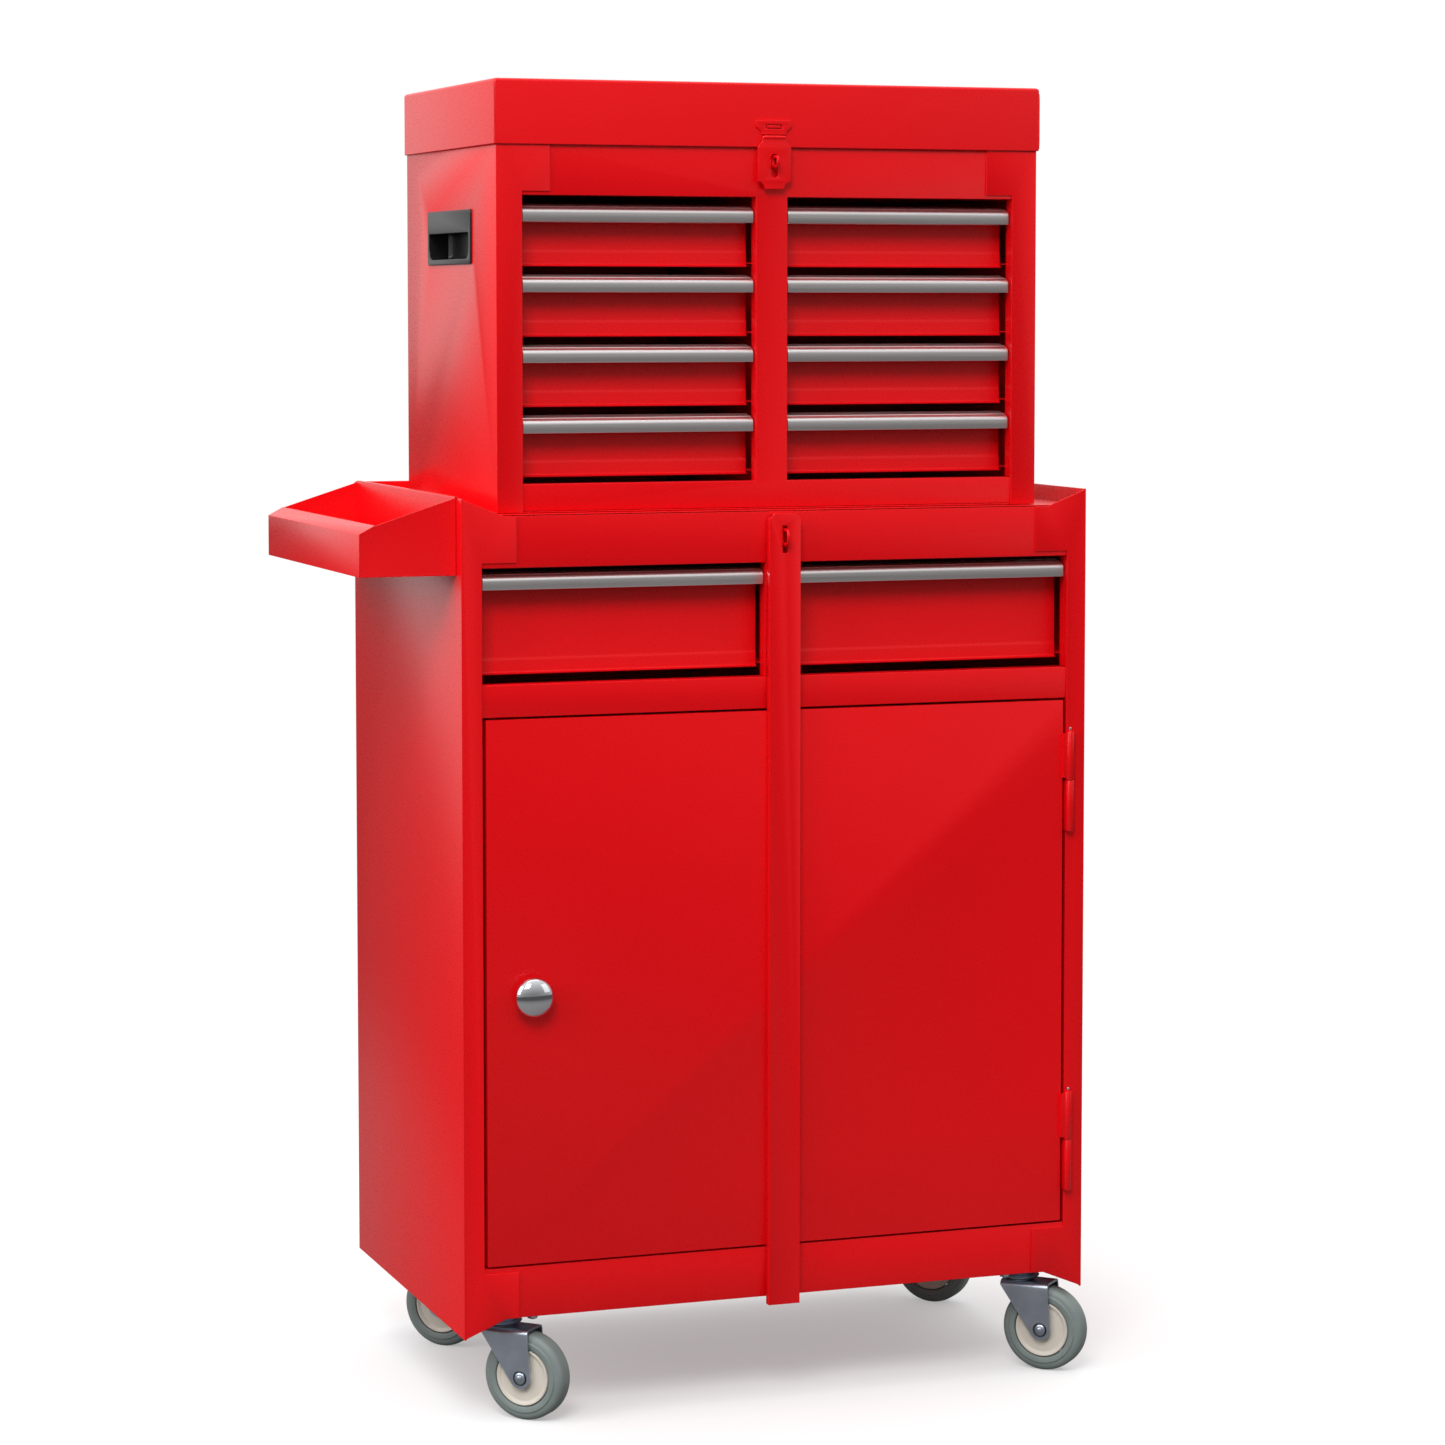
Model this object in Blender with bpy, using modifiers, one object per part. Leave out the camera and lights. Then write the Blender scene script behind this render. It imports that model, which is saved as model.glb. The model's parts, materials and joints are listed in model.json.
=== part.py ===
"""Rolling tool chest: a cabinet on four swivel casters, an eight-drawer chest on top, a side tray.

Metres, +Z up. The origin is on the floor, at the middle of the whole object's footprint.
The front faces -Y and the tray hangs on the -X side.
"""
import math

import bmesh
import bpy
from mathutils import Matrix, Vector

# ---------------------------------------------------------------- driving dimensions
SHEET = 0.001            # steel sheet of every casing
GAP = 0.0003             # between faces that touch
SLIP = 0.0015            # beside a drawer front in its opening

CAB_W, CAB_D = 0.555, 0.345          # cabinet casing
CAB_SIDE_DROP = 0.015                # how far the side panels reach below the bottom rail
CAB_SIDE_RISE = 0.0145               # and above the apron
CAB_SLANT_W = 0.036                  # width of the slant between those levels
CAB_STILE = 0.0175
CAB_RAIL_H = 0.0425                  # bottom rail
CAB_DOOR_BAY_H = 0.4555
CAB_MID_H = 0.0265                   # rail between door and drawers
CAB_DRAWER_BAY_H = 0.0955
CAB_APRON_H = 0.0425
CAB_LAP = 0.047                      # corner tabs that lap over apron and bottom rail
TAB_SHORT, CHEST_TAB_SHORT = 0.004, 0.003   # the tabs stop this far short of the openings
FLANGE = 0.015                       # turned-in edges of rails and door
RAIL_SETBACK = SHEET + GAP           # rails lie behind the stiles' tabs

DOOR_SIDE_GAP = 0.003
DOOR_END_GAP = 0.002
KNOB_R, KNOB_REACH = 0.0165, 0.018
KNOB_INSET, KNOB_DROP = 0.0375, 0.228   # from the door's free edge, and below its top
HINGE_R, HINGE_PIN_R, HINGE_LEAF = 0.0034, 0.0012, 0.0008
HINGE_LEN, HINGE_FROM_TOP, HINGE_FROM_LOW = 0.088, 0.0245, 0.027
PIN_PROUD, PIN_FOOT = 0.002, 0.004   # pin above the barrels, and where it starts inside the lower one

BAR_W, BAR_T = 0.0278, 0.007         # lock bar and the posts behind it
BAR_BELOW, BAR_DOWN = 0.0015, 0.006  # below the apron's top, and past the bottom rail
BAR_SLOT_W, BAR_SLOT_H, BAR_SLOT_DROP = 0.0044, 0.0228, 0.0122
BAR_SLOT_PLAY = 0.002                # slot above the loop
STAPLE_T, STAPLE_H, STAPLE_OUT, STAPLE_WIRE = 0.002, 0.0145, 0.009, 0.0025

CHEST_W, CHEST_D = 0.478, 0.274
CHEST_SETBACK, CHEST_OFF_X = 0.012, -0.0045   # where it stands on the cabinet
CHEST_STILE, CHEST_TOP_LAP = 0.0222, 0.046
CHEST_RAIL_H, CHEST_BAY_H, CHEST_TOP_RAIL_H = 0.0234, 0.2355, 0.041
CHEST_FRAME_T = 0.012
ROWS = 4

LID_H, LID_OVER, LID_CLEAR = 0.053, 0.008, 0.001  # height, overlap on the casing, clearance round it
LID_PIN_R, LID_PIN_OUT, LID_PIN_LOW = 0.002, 0.0045, 0.0015

FACE_INSET = 0.023                   # drawer fronts behind the frame
PULL_OUT, PULL_H = 0.019, 0.0147
PULL_TOP_GAP, CURL = 0.0068, 0.003
PULL_WALL, PULL_NOSE, PULL_FALL, PULL_HEM = 0.0018, 0.004, 0.0035, 0.0045
CHEST_FOOT_GAP, CAB_TOP_GAP, CAB_FOOT_GAP = 0.005, 0.0035, 0.007
CHEST_BACK_ROOM, CAB_BACK_ROOM = 0.012, 0.014   # behind a pushed-in drawer
BOX_SIDE = 0.005                     # drawer box in from its front's edge
BOX_LIFT, BOX_DROP = 0.004, 0.006    # box above the front's foot, and below the pull's top
RUNNER_T, RUNNER_REST, RUNNER_BITE = 0.0012, 0.0004, 0.004

HASP_W, HASP_T, HASP_WING_H = 0.029, 0.0015, 0.012
HASP_AXIS_UP, HASP_DROP, HASP_TAB_W, HASP_TAB_H = 0.008, 0.0358, 0.0146, 0.0068
HASP_SLOT_W, HASP_SLOT_TOP, HASP_SLOT_H, HASP_SLIT = 0.0064, 0.0136, 0.0196, 0.0027
HASP_STAPLE_H, HASP_STAPLE_DROP = 0.0105, 0.0147
HASP_BARREL_R, HASP_OFF, HASP_PLAY = 0.0016, 0.0008, 0.002   # barrel, gap to the lid, loop behind the plate
LEAF_INSET, LEAF_H = 0.02, 0.028     # lid hinge leaf from the casing's ends, and its height

GRIP_L, GRIP_H, GRIP_DEEP, GRIP_RIM = 0.131, 0.0455, 0.020, 0.003
GRIP_LIFT, GRIP_WALL = 0.001, 0.0012   # above the top drawer's runner
GRIP_LIP_T, GRIP_LIP_SHARE = 0.003, 0.42   # the lip to pull on, and how much of the height it covers

TRAY_REACH, TRAY_FRONT_IN, TRAY_REAR_IN = 0.081, 0.0145, 0.0125   # reach, and its ends from the casing's
TRAY_LOW_DROP, TRAY_WALL_H = 0.0485, 0.035    # floor below the apron's top
TRAY_LIP_IN, TRAY_LIP_UP, TRAY_HOOK = 0.013, 0.007, 0.008
BOLT_R, BOLT_H = 0.0045, 0.004
BOLT_FROM_END, BOLT_UP = 0.045, 0.030          # from the tray's front end and floor

WHEEL_R, TYRE_W, HUB_R, HUB_W, BORE_R, AXLE_R = 0.0365, 0.021, 0.0245, 0.022, 0.0045, 0.004
CASTER_SIDE_IN, CASTER_FRONT_IN, CASTER_REAR_IN = 0.0425, 0.0325, 0.0605   # kingpins from the casing's faces
CASTER_TRAIL, CASTER_TURN = 0.023, math.radians(-45)
PLATE_L, PLATE_W, PLATE_T = 0.058, 0.042, 0.002
RACE_R, CROWN_T, CROWN_CLEAR, FORK_T, FORK_SLIP = 0.016, 0.0025, 0.002, 0.002, 0.0008
HEAD_H = 0.0092                      # swivel head, from the fork's crown to the top plate
CROWN_PAST, FORK_SKIRT, FORK_EYE, FORK_CHAMFER, AXLE_PROUD = 0.006, 0.006, 0.0075, 0.004, 0.002

# ---------------------------------------------------------------- levels and planes worked out
HALF_W, HALF_D = CAB_W / 2, CAB_D / 2
FRONT = -HALF_D
RAIL_LOW = 2 * WHEEL_R + CROWN_CLEAR + CROWN_T + HEAD_H + PLATE_T + GAP
CAB_SIDE_LOW = RAIL_LOW - CAB_SIDE_DROP
RAIL_TOP = RAIL_LOW + CAB_RAIL_H
MID_LOW = RAIL_TOP + CAB_DOOR_BAY_H
MID_TOP = MID_LOW + CAB_MID_H
APRON_LOW = MID_TOP + CAB_DRAWER_BAY_H
APRON_TOP = APRON_LOW + CAB_APRON_H
SIDE_TOP = APRON_TOP + CAB_SIDE_RISE
CAB_OPEN = HALF_W - CAB_STILE
RAIL_FRONT = FRONT + RAIL_SETBACK
INSIDE = SHEET + GAP                 # inner face of a casing, with its gap

CHEST_FRONT = FRONT + CHEST_SETBACK
CHEST_REAR = CHEST_FRONT + CHEST_D
CHEST_LOW = APRON_TOP + SHEET + 2 * GAP
BAY_LOW = CHEST_LOW + CHEST_RAIL_H
BAY_TOP = BAY_LOW + CHEST_BAY_H
LID_LOW = BAY_TOP + CHEST_TOP_RAIL_H
LID_TOP = LID_LOW + LID_H
CHEST_TOP = LID_LOW + LID_OVER
CHEST_HALF = CHEST_W / 2
CHEST_OPEN = CHEST_HALF - CHEST_STILE
FRAME_FRONT = CHEST_FRONT + RAIL_SETBACK
FRAME_BACK = FRAME_FRONT + CHEST_FRAME_T
LID_GROW = LID_CLEAR + SHEET
POST = BAR_W / 2
TRAY_L = CAB_D - TRAY_FRONT_IN - TRAY_REAR_IN
CASTER_X = HALF_W - CASTER_SIDE_IN
CASTER_FRONT_Y, CASTER_REAR_Y = HALF_D - CASTER_FRONT_IN, HALF_D - CASTER_REAR_IN

STEEL_RED = ("powder_red", (0.72, 0.012, 0.016), 0.25, 0.0)
ALUMINIUM = ("pull_aluminium", (0.75, 0.72, 0.72), 0.3, 1.0)
CHROME = ("chrome", (0.8, 0.8, 0.82), 0.1, 1.0)
ZINC = ("zinc_plate", (0.62, 0.66, 0.72), 0.35, 1.0)
BLACK = ("black_moulding", (0.02, 0.02, 0.02), 0.5, 0.0)
TYRE_GREY = ("tyre_rubber", (0.2, 0.24, 0.24), 0.7, 0.0)
HUB_CREAM = ("hub_plastic", (0.68, 0.6, 0.56), 0.5, 0.0)


# ---------------------------------------------------------------- ways of making a piece
def collection(name):
    made = bpy.data.collections.new(name)
    bpy.context.scene.collection.children.link(made)
    return made


def finish_of(spec):
    name, colour, roughness, metallic = spec
    found = bpy.data.materials.get(name)
    if found:
        return found
    made = bpy.data.materials.new(name)
    made.use_nodes = True
    shader = made.node_tree.nodes["Principled BSDF"]
    shader.inputs["Base Color"].default_value = (*colour, 1)
    shader.inputs["Roughness"].default_value = roughness
    shader.inputs["Metallic"].default_value = metallic
    return made


def add_object(bm, name, group):
    mesh = bpy.data.meshes.new(name)
    bm.to_mesh(mesh)
    bm.free()
    made = bpy.data.objects.new(name, mesh)
    group.objects.link(made)
    return made


def guide(obj):
    """Marks an object as a cutter or a joined-on shape, which is not a piece of its own."""
    obj.hide_render = True
    obj.display_type = "WIRE"
    return obj


def box(low, high):
    """A box between two corners."""
    low, high = Vector(low), Vector(high)
    bm = bmesh.new()
    size = Matrix.Diagonal((*(high - low), 1))
    bmesh.ops.create_cube(bm, size=1, matrix=Matrix.Translation((low + high) / 2) @ size)
    return guide(add_object(bm, "shape", CUTTERS))


def prism(outline, low, high):
    """A flat outline in (x, z), run along Y from low to high."""
    bm = bmesh.new()
    face = bm.faces.new([bm.verts.new((x, low, z)) for x, z in outline])
    grown = bmesh.ops.extrude_face_region(bm, geom=[face])
    new = [item for item in grown["geom"] if isinstance(item, bmesh.types.BMVert)]
    bmesh.ops.translate(bm, vec=(0, high - low, 0), verts=new)
    bmesh.ops.recalc_face_normals(bm, faces=bm.faces)
    return guide(add_object(bm, "shape", CUTTERS))


def rod(centre, radius, length, axis="Z", sides=20):
    """A cylinder centred on a point."""
    turn = {"X": Matrix.Rotation(math.pi / 2, 4, "Y"), "Y": Matrix.Rotation(math.pi / 2, 4, "X")}
    bm = bmesh.new()
    bmesh.ops.create_cone(bm, cap_ends=True, segments=sides, radius1=radius, radius2=radius, depth=length,
                          matrix=Matrix.Translation(centre) @ turn.get(axis, Matrix.Identity(4)))
    return guide(add_object(bm, "shape", CUTTERS))


def folded(outline, low, high, along="Z"):
    """A sheet folded along an open outline and run from low to high; its wall grows to the outline's left."""
    def place(point, level):
        return (point[0], point[1], level) if along == "Z" else (point[0], level, point[1])
    bm = bmesh.new()
    verts = [bm.verts.new(place(point, low)) for point in outline]
    edges = [bm.edges.new(pair) for pair in zip(verts, verts[1:])]
    grown = bmesh.ops.extrude_edge_only(bm, edges=edges)
    new = [item for item in grown["geom"] if isinstance(item, bmesh.types.BMVert)]
    bmesh.ops.translate(bm, vec=(0, high - low, 0) if along == "Y" else (0, 0, high - low), verts=new)
    made = guide(add_object(bm, "shape", CUTTERS))
    wall = made.modifiers.new("wall", "SOLIDIFY")
    wall.thickness = SHEET
    wall.offset = -1
    wall.use_even_offset = True
    return made


def pan(low, high, open_face, thickness=SHEET):
    """A box of sheet with one side left open, its wall growing inwards. open_face is such as (0, 0, 1)."""
    low, high = Vector(low), Vector(high)
    bm = bmesh.new()
    size = Matrix.Diagonal((*(high - low), 1))
    bmesh.ops.create_cube(bm, size=1, matrix=Matrix.Translation((low + high) / 2) @ size)
    bm.normal_update()
    gone = [face for face in bm.faces if face.normal.dot(Vector(open_face)) > 0.9]
    bmesh.ops.delete(bm, geom=gone, context="FACES")
    made = guide(add_object(bm, "shape", CUTTERS))
    wall = made.modifiers.new("wall", "SOLIDIFY")
    wall.thickness = thickness
    wall.offset = -1
    wall.use_even_offset = True
    return made


def turned(profile, steps=24):
    """A profile of (radius, height) turned about Z, running down its outer side from top to bottom."""
    bm = bmesh.new()
    verts = [bm.verts.new((radius, 0, height)) for radius, height in profile]
    closed = profile[0][0] > 0
    pairs = list(zip(verts, verts[1:])) + ([(verts[-1], verts[0])] if closed else [])
    for pair in pairs:
        bm.edges.new(pair)
    made = guide(add_object(bm, "shape", CUTTERS))
    screw = made.modifiers.new("turn", "SCREW")
    screw.axis = "Z"
    screw.steps = screw.render_steps = steps
    screw.use_merge_vertices = True
    screw.merge_threshold = 0.00001
    return made


def merge(name, spec, first, joined=(), cut=(), origin=(0, 0, 0), parent=None):
    """Makes one named piece: a first shape, others joined to it, then cuts. origin is on its joint's axis."""
    for other, operation in [(o, "UNION") for o in joined] + [(o, "DIFFERENCE") for o in cut]:
        step = first.modifiers.new(operation.lower(), "BOOLEAN")
        step.operation = operation
        step.solver = "EXACT"
        step.object = other
    first.name = name
    first.data.name = name
    first.hide_render = False
    first.display_type = "TEXTURED"
    CUTTERS.objects.unlink(first)
    PIECES.objects.link(first)
    first.data.materials.append(finish_of(spec))
    shift = Vector(origin)
    first.data.transform(Matrix.Translation(-shift))
    first.location = shift
    first.parent = parent or ROOT
    for other in (*joined, *cut):
        other.parent = ROOT
    return first


def turn_shape(shape, matrix):
    """Turns or moves a shape's mesh itself, before it is joined to anything."""
    shape.data.transform(matrix)
    return shape


for old in list(bpy.data.objects):
    bpy.data.objects.remove(old, do_unlink=True)
PIECES = collection("rolling_tool_chest")
CUTTERS = collection("cutters")
ROOT = bpy.data.objects.new("floor_centre", None)
ROOT.location = ((TRAY_REACH + GAP) / 2, KNOB_REACH / 2, 0)
PIECES.objects.link(ROOT)


# ---------------------------------------------------------------- cabinet casing
def cabinet_shell():
    """Sides and back from one folded sheet, whose front edges turn in as stiles with corner tabs."""
    lap = HALF_W - CAB_LAP
    shell = folded([(-lap, FRONT), (-HALF_W, FRONT), (-HALF_W, HALF_D),
                    (HALF_W, HALF_D), (HALF_W, FRONT), (lap, FRONT)], CAB_SIDE_LOW, SIDE_TOP)
    deep = FRONT + SHEET + GAP
    ahead = FRONT - SHEET
    joined, cut = [], []
    for side in (-1, 1):
        def span(inner, outer, low, high, front, back):
            """A box between two distances from the middle plane, on this side."""
            ends = sorted((side * inner, side * outer))
            return box((ends[0], front, low), (ends[1], back, high))
        cut.append(span(lap - SHEET, CAB_OPEN, RAIL_TOP - TAB_SHORT, APRON_LOW + TAB_SHORT, ahead, deep))
        x_corner, x_in = side * (HALF_W - 2 * SHEET), side * (HALF_W - CAB_SLANT_W)
        x_past = side * (lap - SHEET)
        cut.append(prism([(x_corner, SIDE_TOP + SHEET), (x_corner, SIDE_TOP - SHEET), (x_in, APRON_TOP),
                          (x_past, APRON_TOP), (x_past, SIDE_TOP + SHEET)], ahead, deep))
        cut.append(prism([(x_corner, CAB_SIDE_LOW - SHEET), (x_corner, CAB_SIDE_LOW + SHEET),
                          (x_in, RAIL_LOW),
                          (x_past, RAIL_LOW), (x_past, CAB_SIDE_LOW - SHEET)], ahead, deep))
        for low, high in ((RAIL_TOP, MID_LOW), (MID_TOP, APRON_LOW)):
            joined.append(span(CAB_OPEN, CAB_OPEN + SHEET, low + GAP, high - GAP,
                               FRONT + SHEET / 2, FRONT + FLANGE))
        rest = CAB_DRAWER["low"] + BOX_LIFT - RUNNER_REST
        joined.append(span(CAB_DRAWER["outer"] - BOX_SIDE - RUNNER_BITE, HALF_W - SHEET / 2,
                           rest - RUNNER_T, rest, CAB_DRAWER["face"] + SHEET + GAP, HALF_D - SHEET / 2))
    merge("base_shell", STEEL_RED, shell, joined, cut)


def rail(name, low, high, half, front, joined=(), cut=()):
    """A channel rail: a web at the front with its edges turned in."""
    web = pan((-half, front, low), (half, front + FLANGE, high), (0, 1, 0))
    ends = box((-half - GAP, front + SHEET, low + SHEET), (half + GAP, front + 2 * FLANGE, high - SHEET))
    return merge(name, STEEL_RED, web, joined, [ends, *cut])


def staple(x, front, reach, low, height):
    """A padlock loop standing out of a rail: the plate and the eye through it."""
    tip = front - reach
    plate = box((x - STAPLE_T / 2, tip, low), (x + STAPLE_T / 2, front + SHEET / 2, low + height))
    eye = box((x - STAPLE_T, tip + STAPLE_WIRE, low + STAPLE_WIRE),
              (x + STAPLE_T, tip + reach / 2, low + height - STAPLE_WIRE))
    return plate, eye


def cabinet_frame():
    inner = HALF_W - INSIDE
    slot_top = APRON_TOP - BAR_BELOW - BAR_SLOT_DROP
    plate, eye = staple(0, RAIL_FRONT, RAIL_SETBACK + GAP + BAR_T + STAPLE_OUT,
                        slot_top - STAPLE_H - GAP, STAPLE_H)
    rail("base_apron", APRON_LOW, APRON_TOP, inner, RAIL_FRONT, [plate], [eye])
    rail("base_mid_rail", MID_LOW, MID_TOP, inner, RAIL_FRONT)
    rail("base_bottom_rail", RAIL_LOW, RAIL_TOP, inner, RAIL_FRONT)
    back = HALF_D - INSIDE
    top = APRON_TOP + GAP
    merge("base_top_pan", STEEL_RED, box((-inner, RAIL_FRONT, top), (inner, back, top + SHEET)),
          [box((-inner, back - SHEET, APRON_TOP - FLANGE), (inner, back, top + SHEET / 2))])
    floor = RAIL_LOW + SHEET + GAP
    tray = pan((-inner, RAIL_FRONT + SHEET + GAP, floor), (inner, back, floor + FLANGE), (0, 0, 1))
    merge("base_bottom_pan", STEEL_RED, tray)
    rest = CAB_DRAWER["low"] + BOX_LIFT - RUNNER_REST
    post = pan((-POST, RAIL_FRONT, MID_TOP + GAP), (POST, RAIL_FRONT + FLANGE, APRON_LOW - GAP), (0, 1, 0))
    web = box((-SHEET / 2, RAIL_FRONT + SHEET / 2, MID_TOP + 2 * GAP), (SHEET / 2, back, APRON_LOW - 2 * GAP))
    reach = CAB_DRAWER["inner"] + BOX_SIDE + RUNNER_BITE
    runner = box((-reach, CAB_DRAWER["face"] + SHEET + GAP, rest - RUNNER_T), (reach, back, rest))
    merge("base_divider", STEEL_RED, post, [web, runner])


# ---------------------------------------------------------------- drawers
def drawer_sizes(half_open, frame_front, rear, low, high):
    """The span of one drawer front, and the depth its box has behind it."""
    return {"inner": POST + SLIP, "outer": half_open - SLIP, "face": frame_front + FACE_INSET,
            "back": rear, "low": low, "high": high}


def chest_row(row):
    """Row 0 is the lowest. The rows share the bay evenly."""
    usable = CHEST_BAY_H - CHEST_FOOT_GAP
    pitch = usable / ROWS
    low = BAY_LOW + CHEST_FOOT_GAP + row * pitch
    rear = CHEST_REAR - CHEST_BACK_ROOM
    return drawer_sizes(CHEST_OPEN, CHEST_FRONT, rear, low, low + pitch - PULL_TOP_GAP)


CAB_DRAWER = drawer_sizes(CAB_OPEN, FRONT, HALF_D - CAB_BACK_ROOM,
                          MID_TOP + CAB_FOOT_GAP, APRON_LOW - CAB_TOP_GAP)


def drawer(name, size, side, off_x=0.0):
    """A steel box under a front sheet with a curled foot, and the aluminium pull along its top."""
    ends = sorted((side * size["inner"] + off_x, side * size["outer"] + off_x))
    face, low, high = size["face"], size["low"], size["high"]
    left, right = ends[0] + BOX_SIDE, ends[1] - BOX_SIDE
    front = box((ends[0], face, low), (ends[1], face + SHEET, high - SHEET))
    foot = box((ends[0], face - CURL, low), (ends[1], face + SHEET / 2, low + SHEET))
    tub = pan((left, face + SHEET / 2, low + BOX_LIFT), (right, size["back"], high - BOX_DROP), (0, 0, 1))
    merge(f"{name}_box", STEEL_RED, tub, [front, foot])
    back = face - GAP
    tip = face - PULL_OUT
    drop = high - PULL_H
    corner, inner = high - PULL_FALL - PULL_NOSE, PULL_NOSE - PULL_WALL

    def nose(radius, turn):
        """A point on the rounded front edge, whose centre is one nose radius in from the tip."""
        return tip + PULL_NOSE - radius * math.cos(turn), corner + radius * math.sin(turn)
    turns = [math.radians(step) for step in (0, 26, 52, 78)]
    hem = (tip + PULL_HEM, drop + PULL_WALL)
    outline = [(back, high), *[nose(PULL_NOSE, turn) for turn in reversed(turns)],
               (tip, drop + PULL_WALL), (tip + PULL_WALL, drop), (tip + PULL_HEM, drop), hem,
               (tip + PULL_WALL, drop + PULL_WALL + GAP), *[nose(inner, turn) for turn in turns],
               (back - PULL_WALL, high - PULL_WALL), (back - PULL_WALL, drop), (back, drop)]
    bar = prism(outline, ends[0], ends[1])
    turn_shape(bar, Matrix(((0, 1, 0, 0), (1, 0, 0, 0), (0, 0, 1, 0), (0, 0, 0, 1))))
    bar.data.flip_normals()
    merge(f"{name}_pull", ALUMINIUM, bar)


# ---------------------------------------------------------------- door, hinges, knob, lock bar
def door_group():
    half = CAB_OPEN - DOOR_SIDE_GAP
    low, high = RAIL_TOP + DOOR_END_GAP, MID_LOW - DOOR_END_GAP
    axis_x, axis_y = CAB_OPEN - GAP - HINGE_LEAF - GAP / 2 + HINGE_R, FRONT - HINGE_R - GAP
    skin = pan((-half, FRONT, low), (half, FRONT + FLANGE, high), (0, 1, 0))
    joined, cut = [], []
    hinge_lows = {"upper": high - HINGE_FROM_TOP - HINGE_LEN, "lower": low + HINGE_FROM_LOW}
    for where, foot in hinge_lows.items():
        split = foot + HINGE_LEN / 2
        top = foot + HINGE_LEN - PIN_PROUD
        at = (axis_x, axis_y)
        joined.append(rod((*at, (split + top) / 2 + GAP / 2), HINGE_R, top - split - GAP))
        joined.append(box((half - SHEET, axis_y - HINGE_LEAF, split + PIN_PROUD),
                          (CAB_OPEN - 2 * GAP, FRONT + SHEET / 2, top - PIN_PROUD)))
        cut.append(rod((*at, (split + top) / 2), HINGE_PIN_R + GAP, HINGE_LEN))
        barrel = rod((*at, (foot + split - GAP) / 2), HINGE_R, split - GAP - foot)
        pin = rod((*at, foot + (HINGE_LEN + PIN_FOOT) / 2), HINGE_PIN_R, HINGE_LEN - PIN_FOOT, sides=12)
        leaf_x = axis_x - HINGE_R + GAP / 2
        leaf = box((leaf_x, axis_y, foot), (leaf_x + HINGE_LEAF, FRONT + FLANGE - PIN_PROUD, split - GAP))
        merge(f"hinge_{where}_leaf", STEEL_RED, barrel, [leaf, pin], origin=(*at, foot))
    merge("door_panel", STEEL_RED, skin, joined, cut, origin=(axis_x, axis_y, low))
    rim, neck, flange = KNOB_R, KNOB_R * 0.45, KNOB_R * 0.8
    profile = [(0, KNOB_REACH), (rim * 0.5, KNOB_REACH - 0.0012), (rim * 0.86, KNOB_REACH - 0.005),
               (rim, KNOB_REACH * 0.5), (rim * 0.9, KNOB_REACH * 0.36), (rim * 0.5, KNOB_REACH * 0.3),
               (neck, 0.003), (flange, 0.0015), (flange, GAP), (0, GAP)]
    knob = merge("door_knob", CHROME, turned(profile, steps=28))
    knob.location = (-half + KNOB_INSET, FRONT, high - KNOB_DROP)
    knob.rotation_euler = (math.pi / 2, 0, 0)

    top = APRON_TOP - BAR_BELOW
    bar_back = FRONT - GAP
    bar_front = bar_back - BAR_T
    bar = pan((-POST, bar_front, RAIL_LOW - BAR_DOWN), (POST, bar_back, top), (0, 1, 0))
    slot_top = top - BAR_SLOT_DROP + BAR_SLOT_PLAY
    slot = box((-BAR_SLOT_W / 2, bar_front - SHEET, slot_top - BAR_SLOT_H),
               (BAR_SLOT_W / 2, bar_back + SHEET, slot_top))
    merge("lock_bar", STEEL_RED, bar, [], [slot])


# ---------------------------------------------------------------- side tray
def side_tray():
    out = -HALF_W - GAP - TRAY_REACH
    near = -HALF_W - GAP
    hook = -HALF_W + SHEET + GAP
    low = APRON_TOP - TRAY_LOW_DROP
    rim = low + TRAY_WALL_H
    hook_top = SIDE_TOP + GAP
    front, rear = FRONT + TRAY_FRONT_IN, FRONT + TRAY_FRONT_IN + TRAY_L
    sheet = folded([(out + TRAY_LIP_IN, rim + TRAY_LIP_UP), (out, rim), (out, low), (near, low),
                    (near, hook_top),
                    (hook, hook_top), (hook, hook_top - TRAY_HOOK)], front, rear, along="Y")
    ends = []
    for level in (front, rear - SHEET):
        ends.append(prism([(out + SHEET / 2, low + SHEET / 2), (near - SHEET / 2, low + SHEET / 2),
                           (near - SHEET / 2, SIDE_TOP), (out + TRAY_LIP_IN, rim + TRAY_LIP_UP - SHEET / 2),
                           (out + SHEET / 2, rim - SHEET / 2)], level + GAP / 2, level + SHEET - GAP / 2))
    merge("side_tray", STEEL_RED, sheet, ends)
    x = near - SHEET - GAP
    y, z = front + BOLT_FROM_END, low + BOLT_UP
    bolt = rod((x - BOLT_H / 2, y, z), BOLT_R, BOLT_H, axis="X")
    recess = rod((x - BOLT_H, y, z), BOLT_R * 0.5, BOLT_H, axis="X", sides=6)
    merge("tray_bolt", CHROME, bolt, [], [recess])


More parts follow.
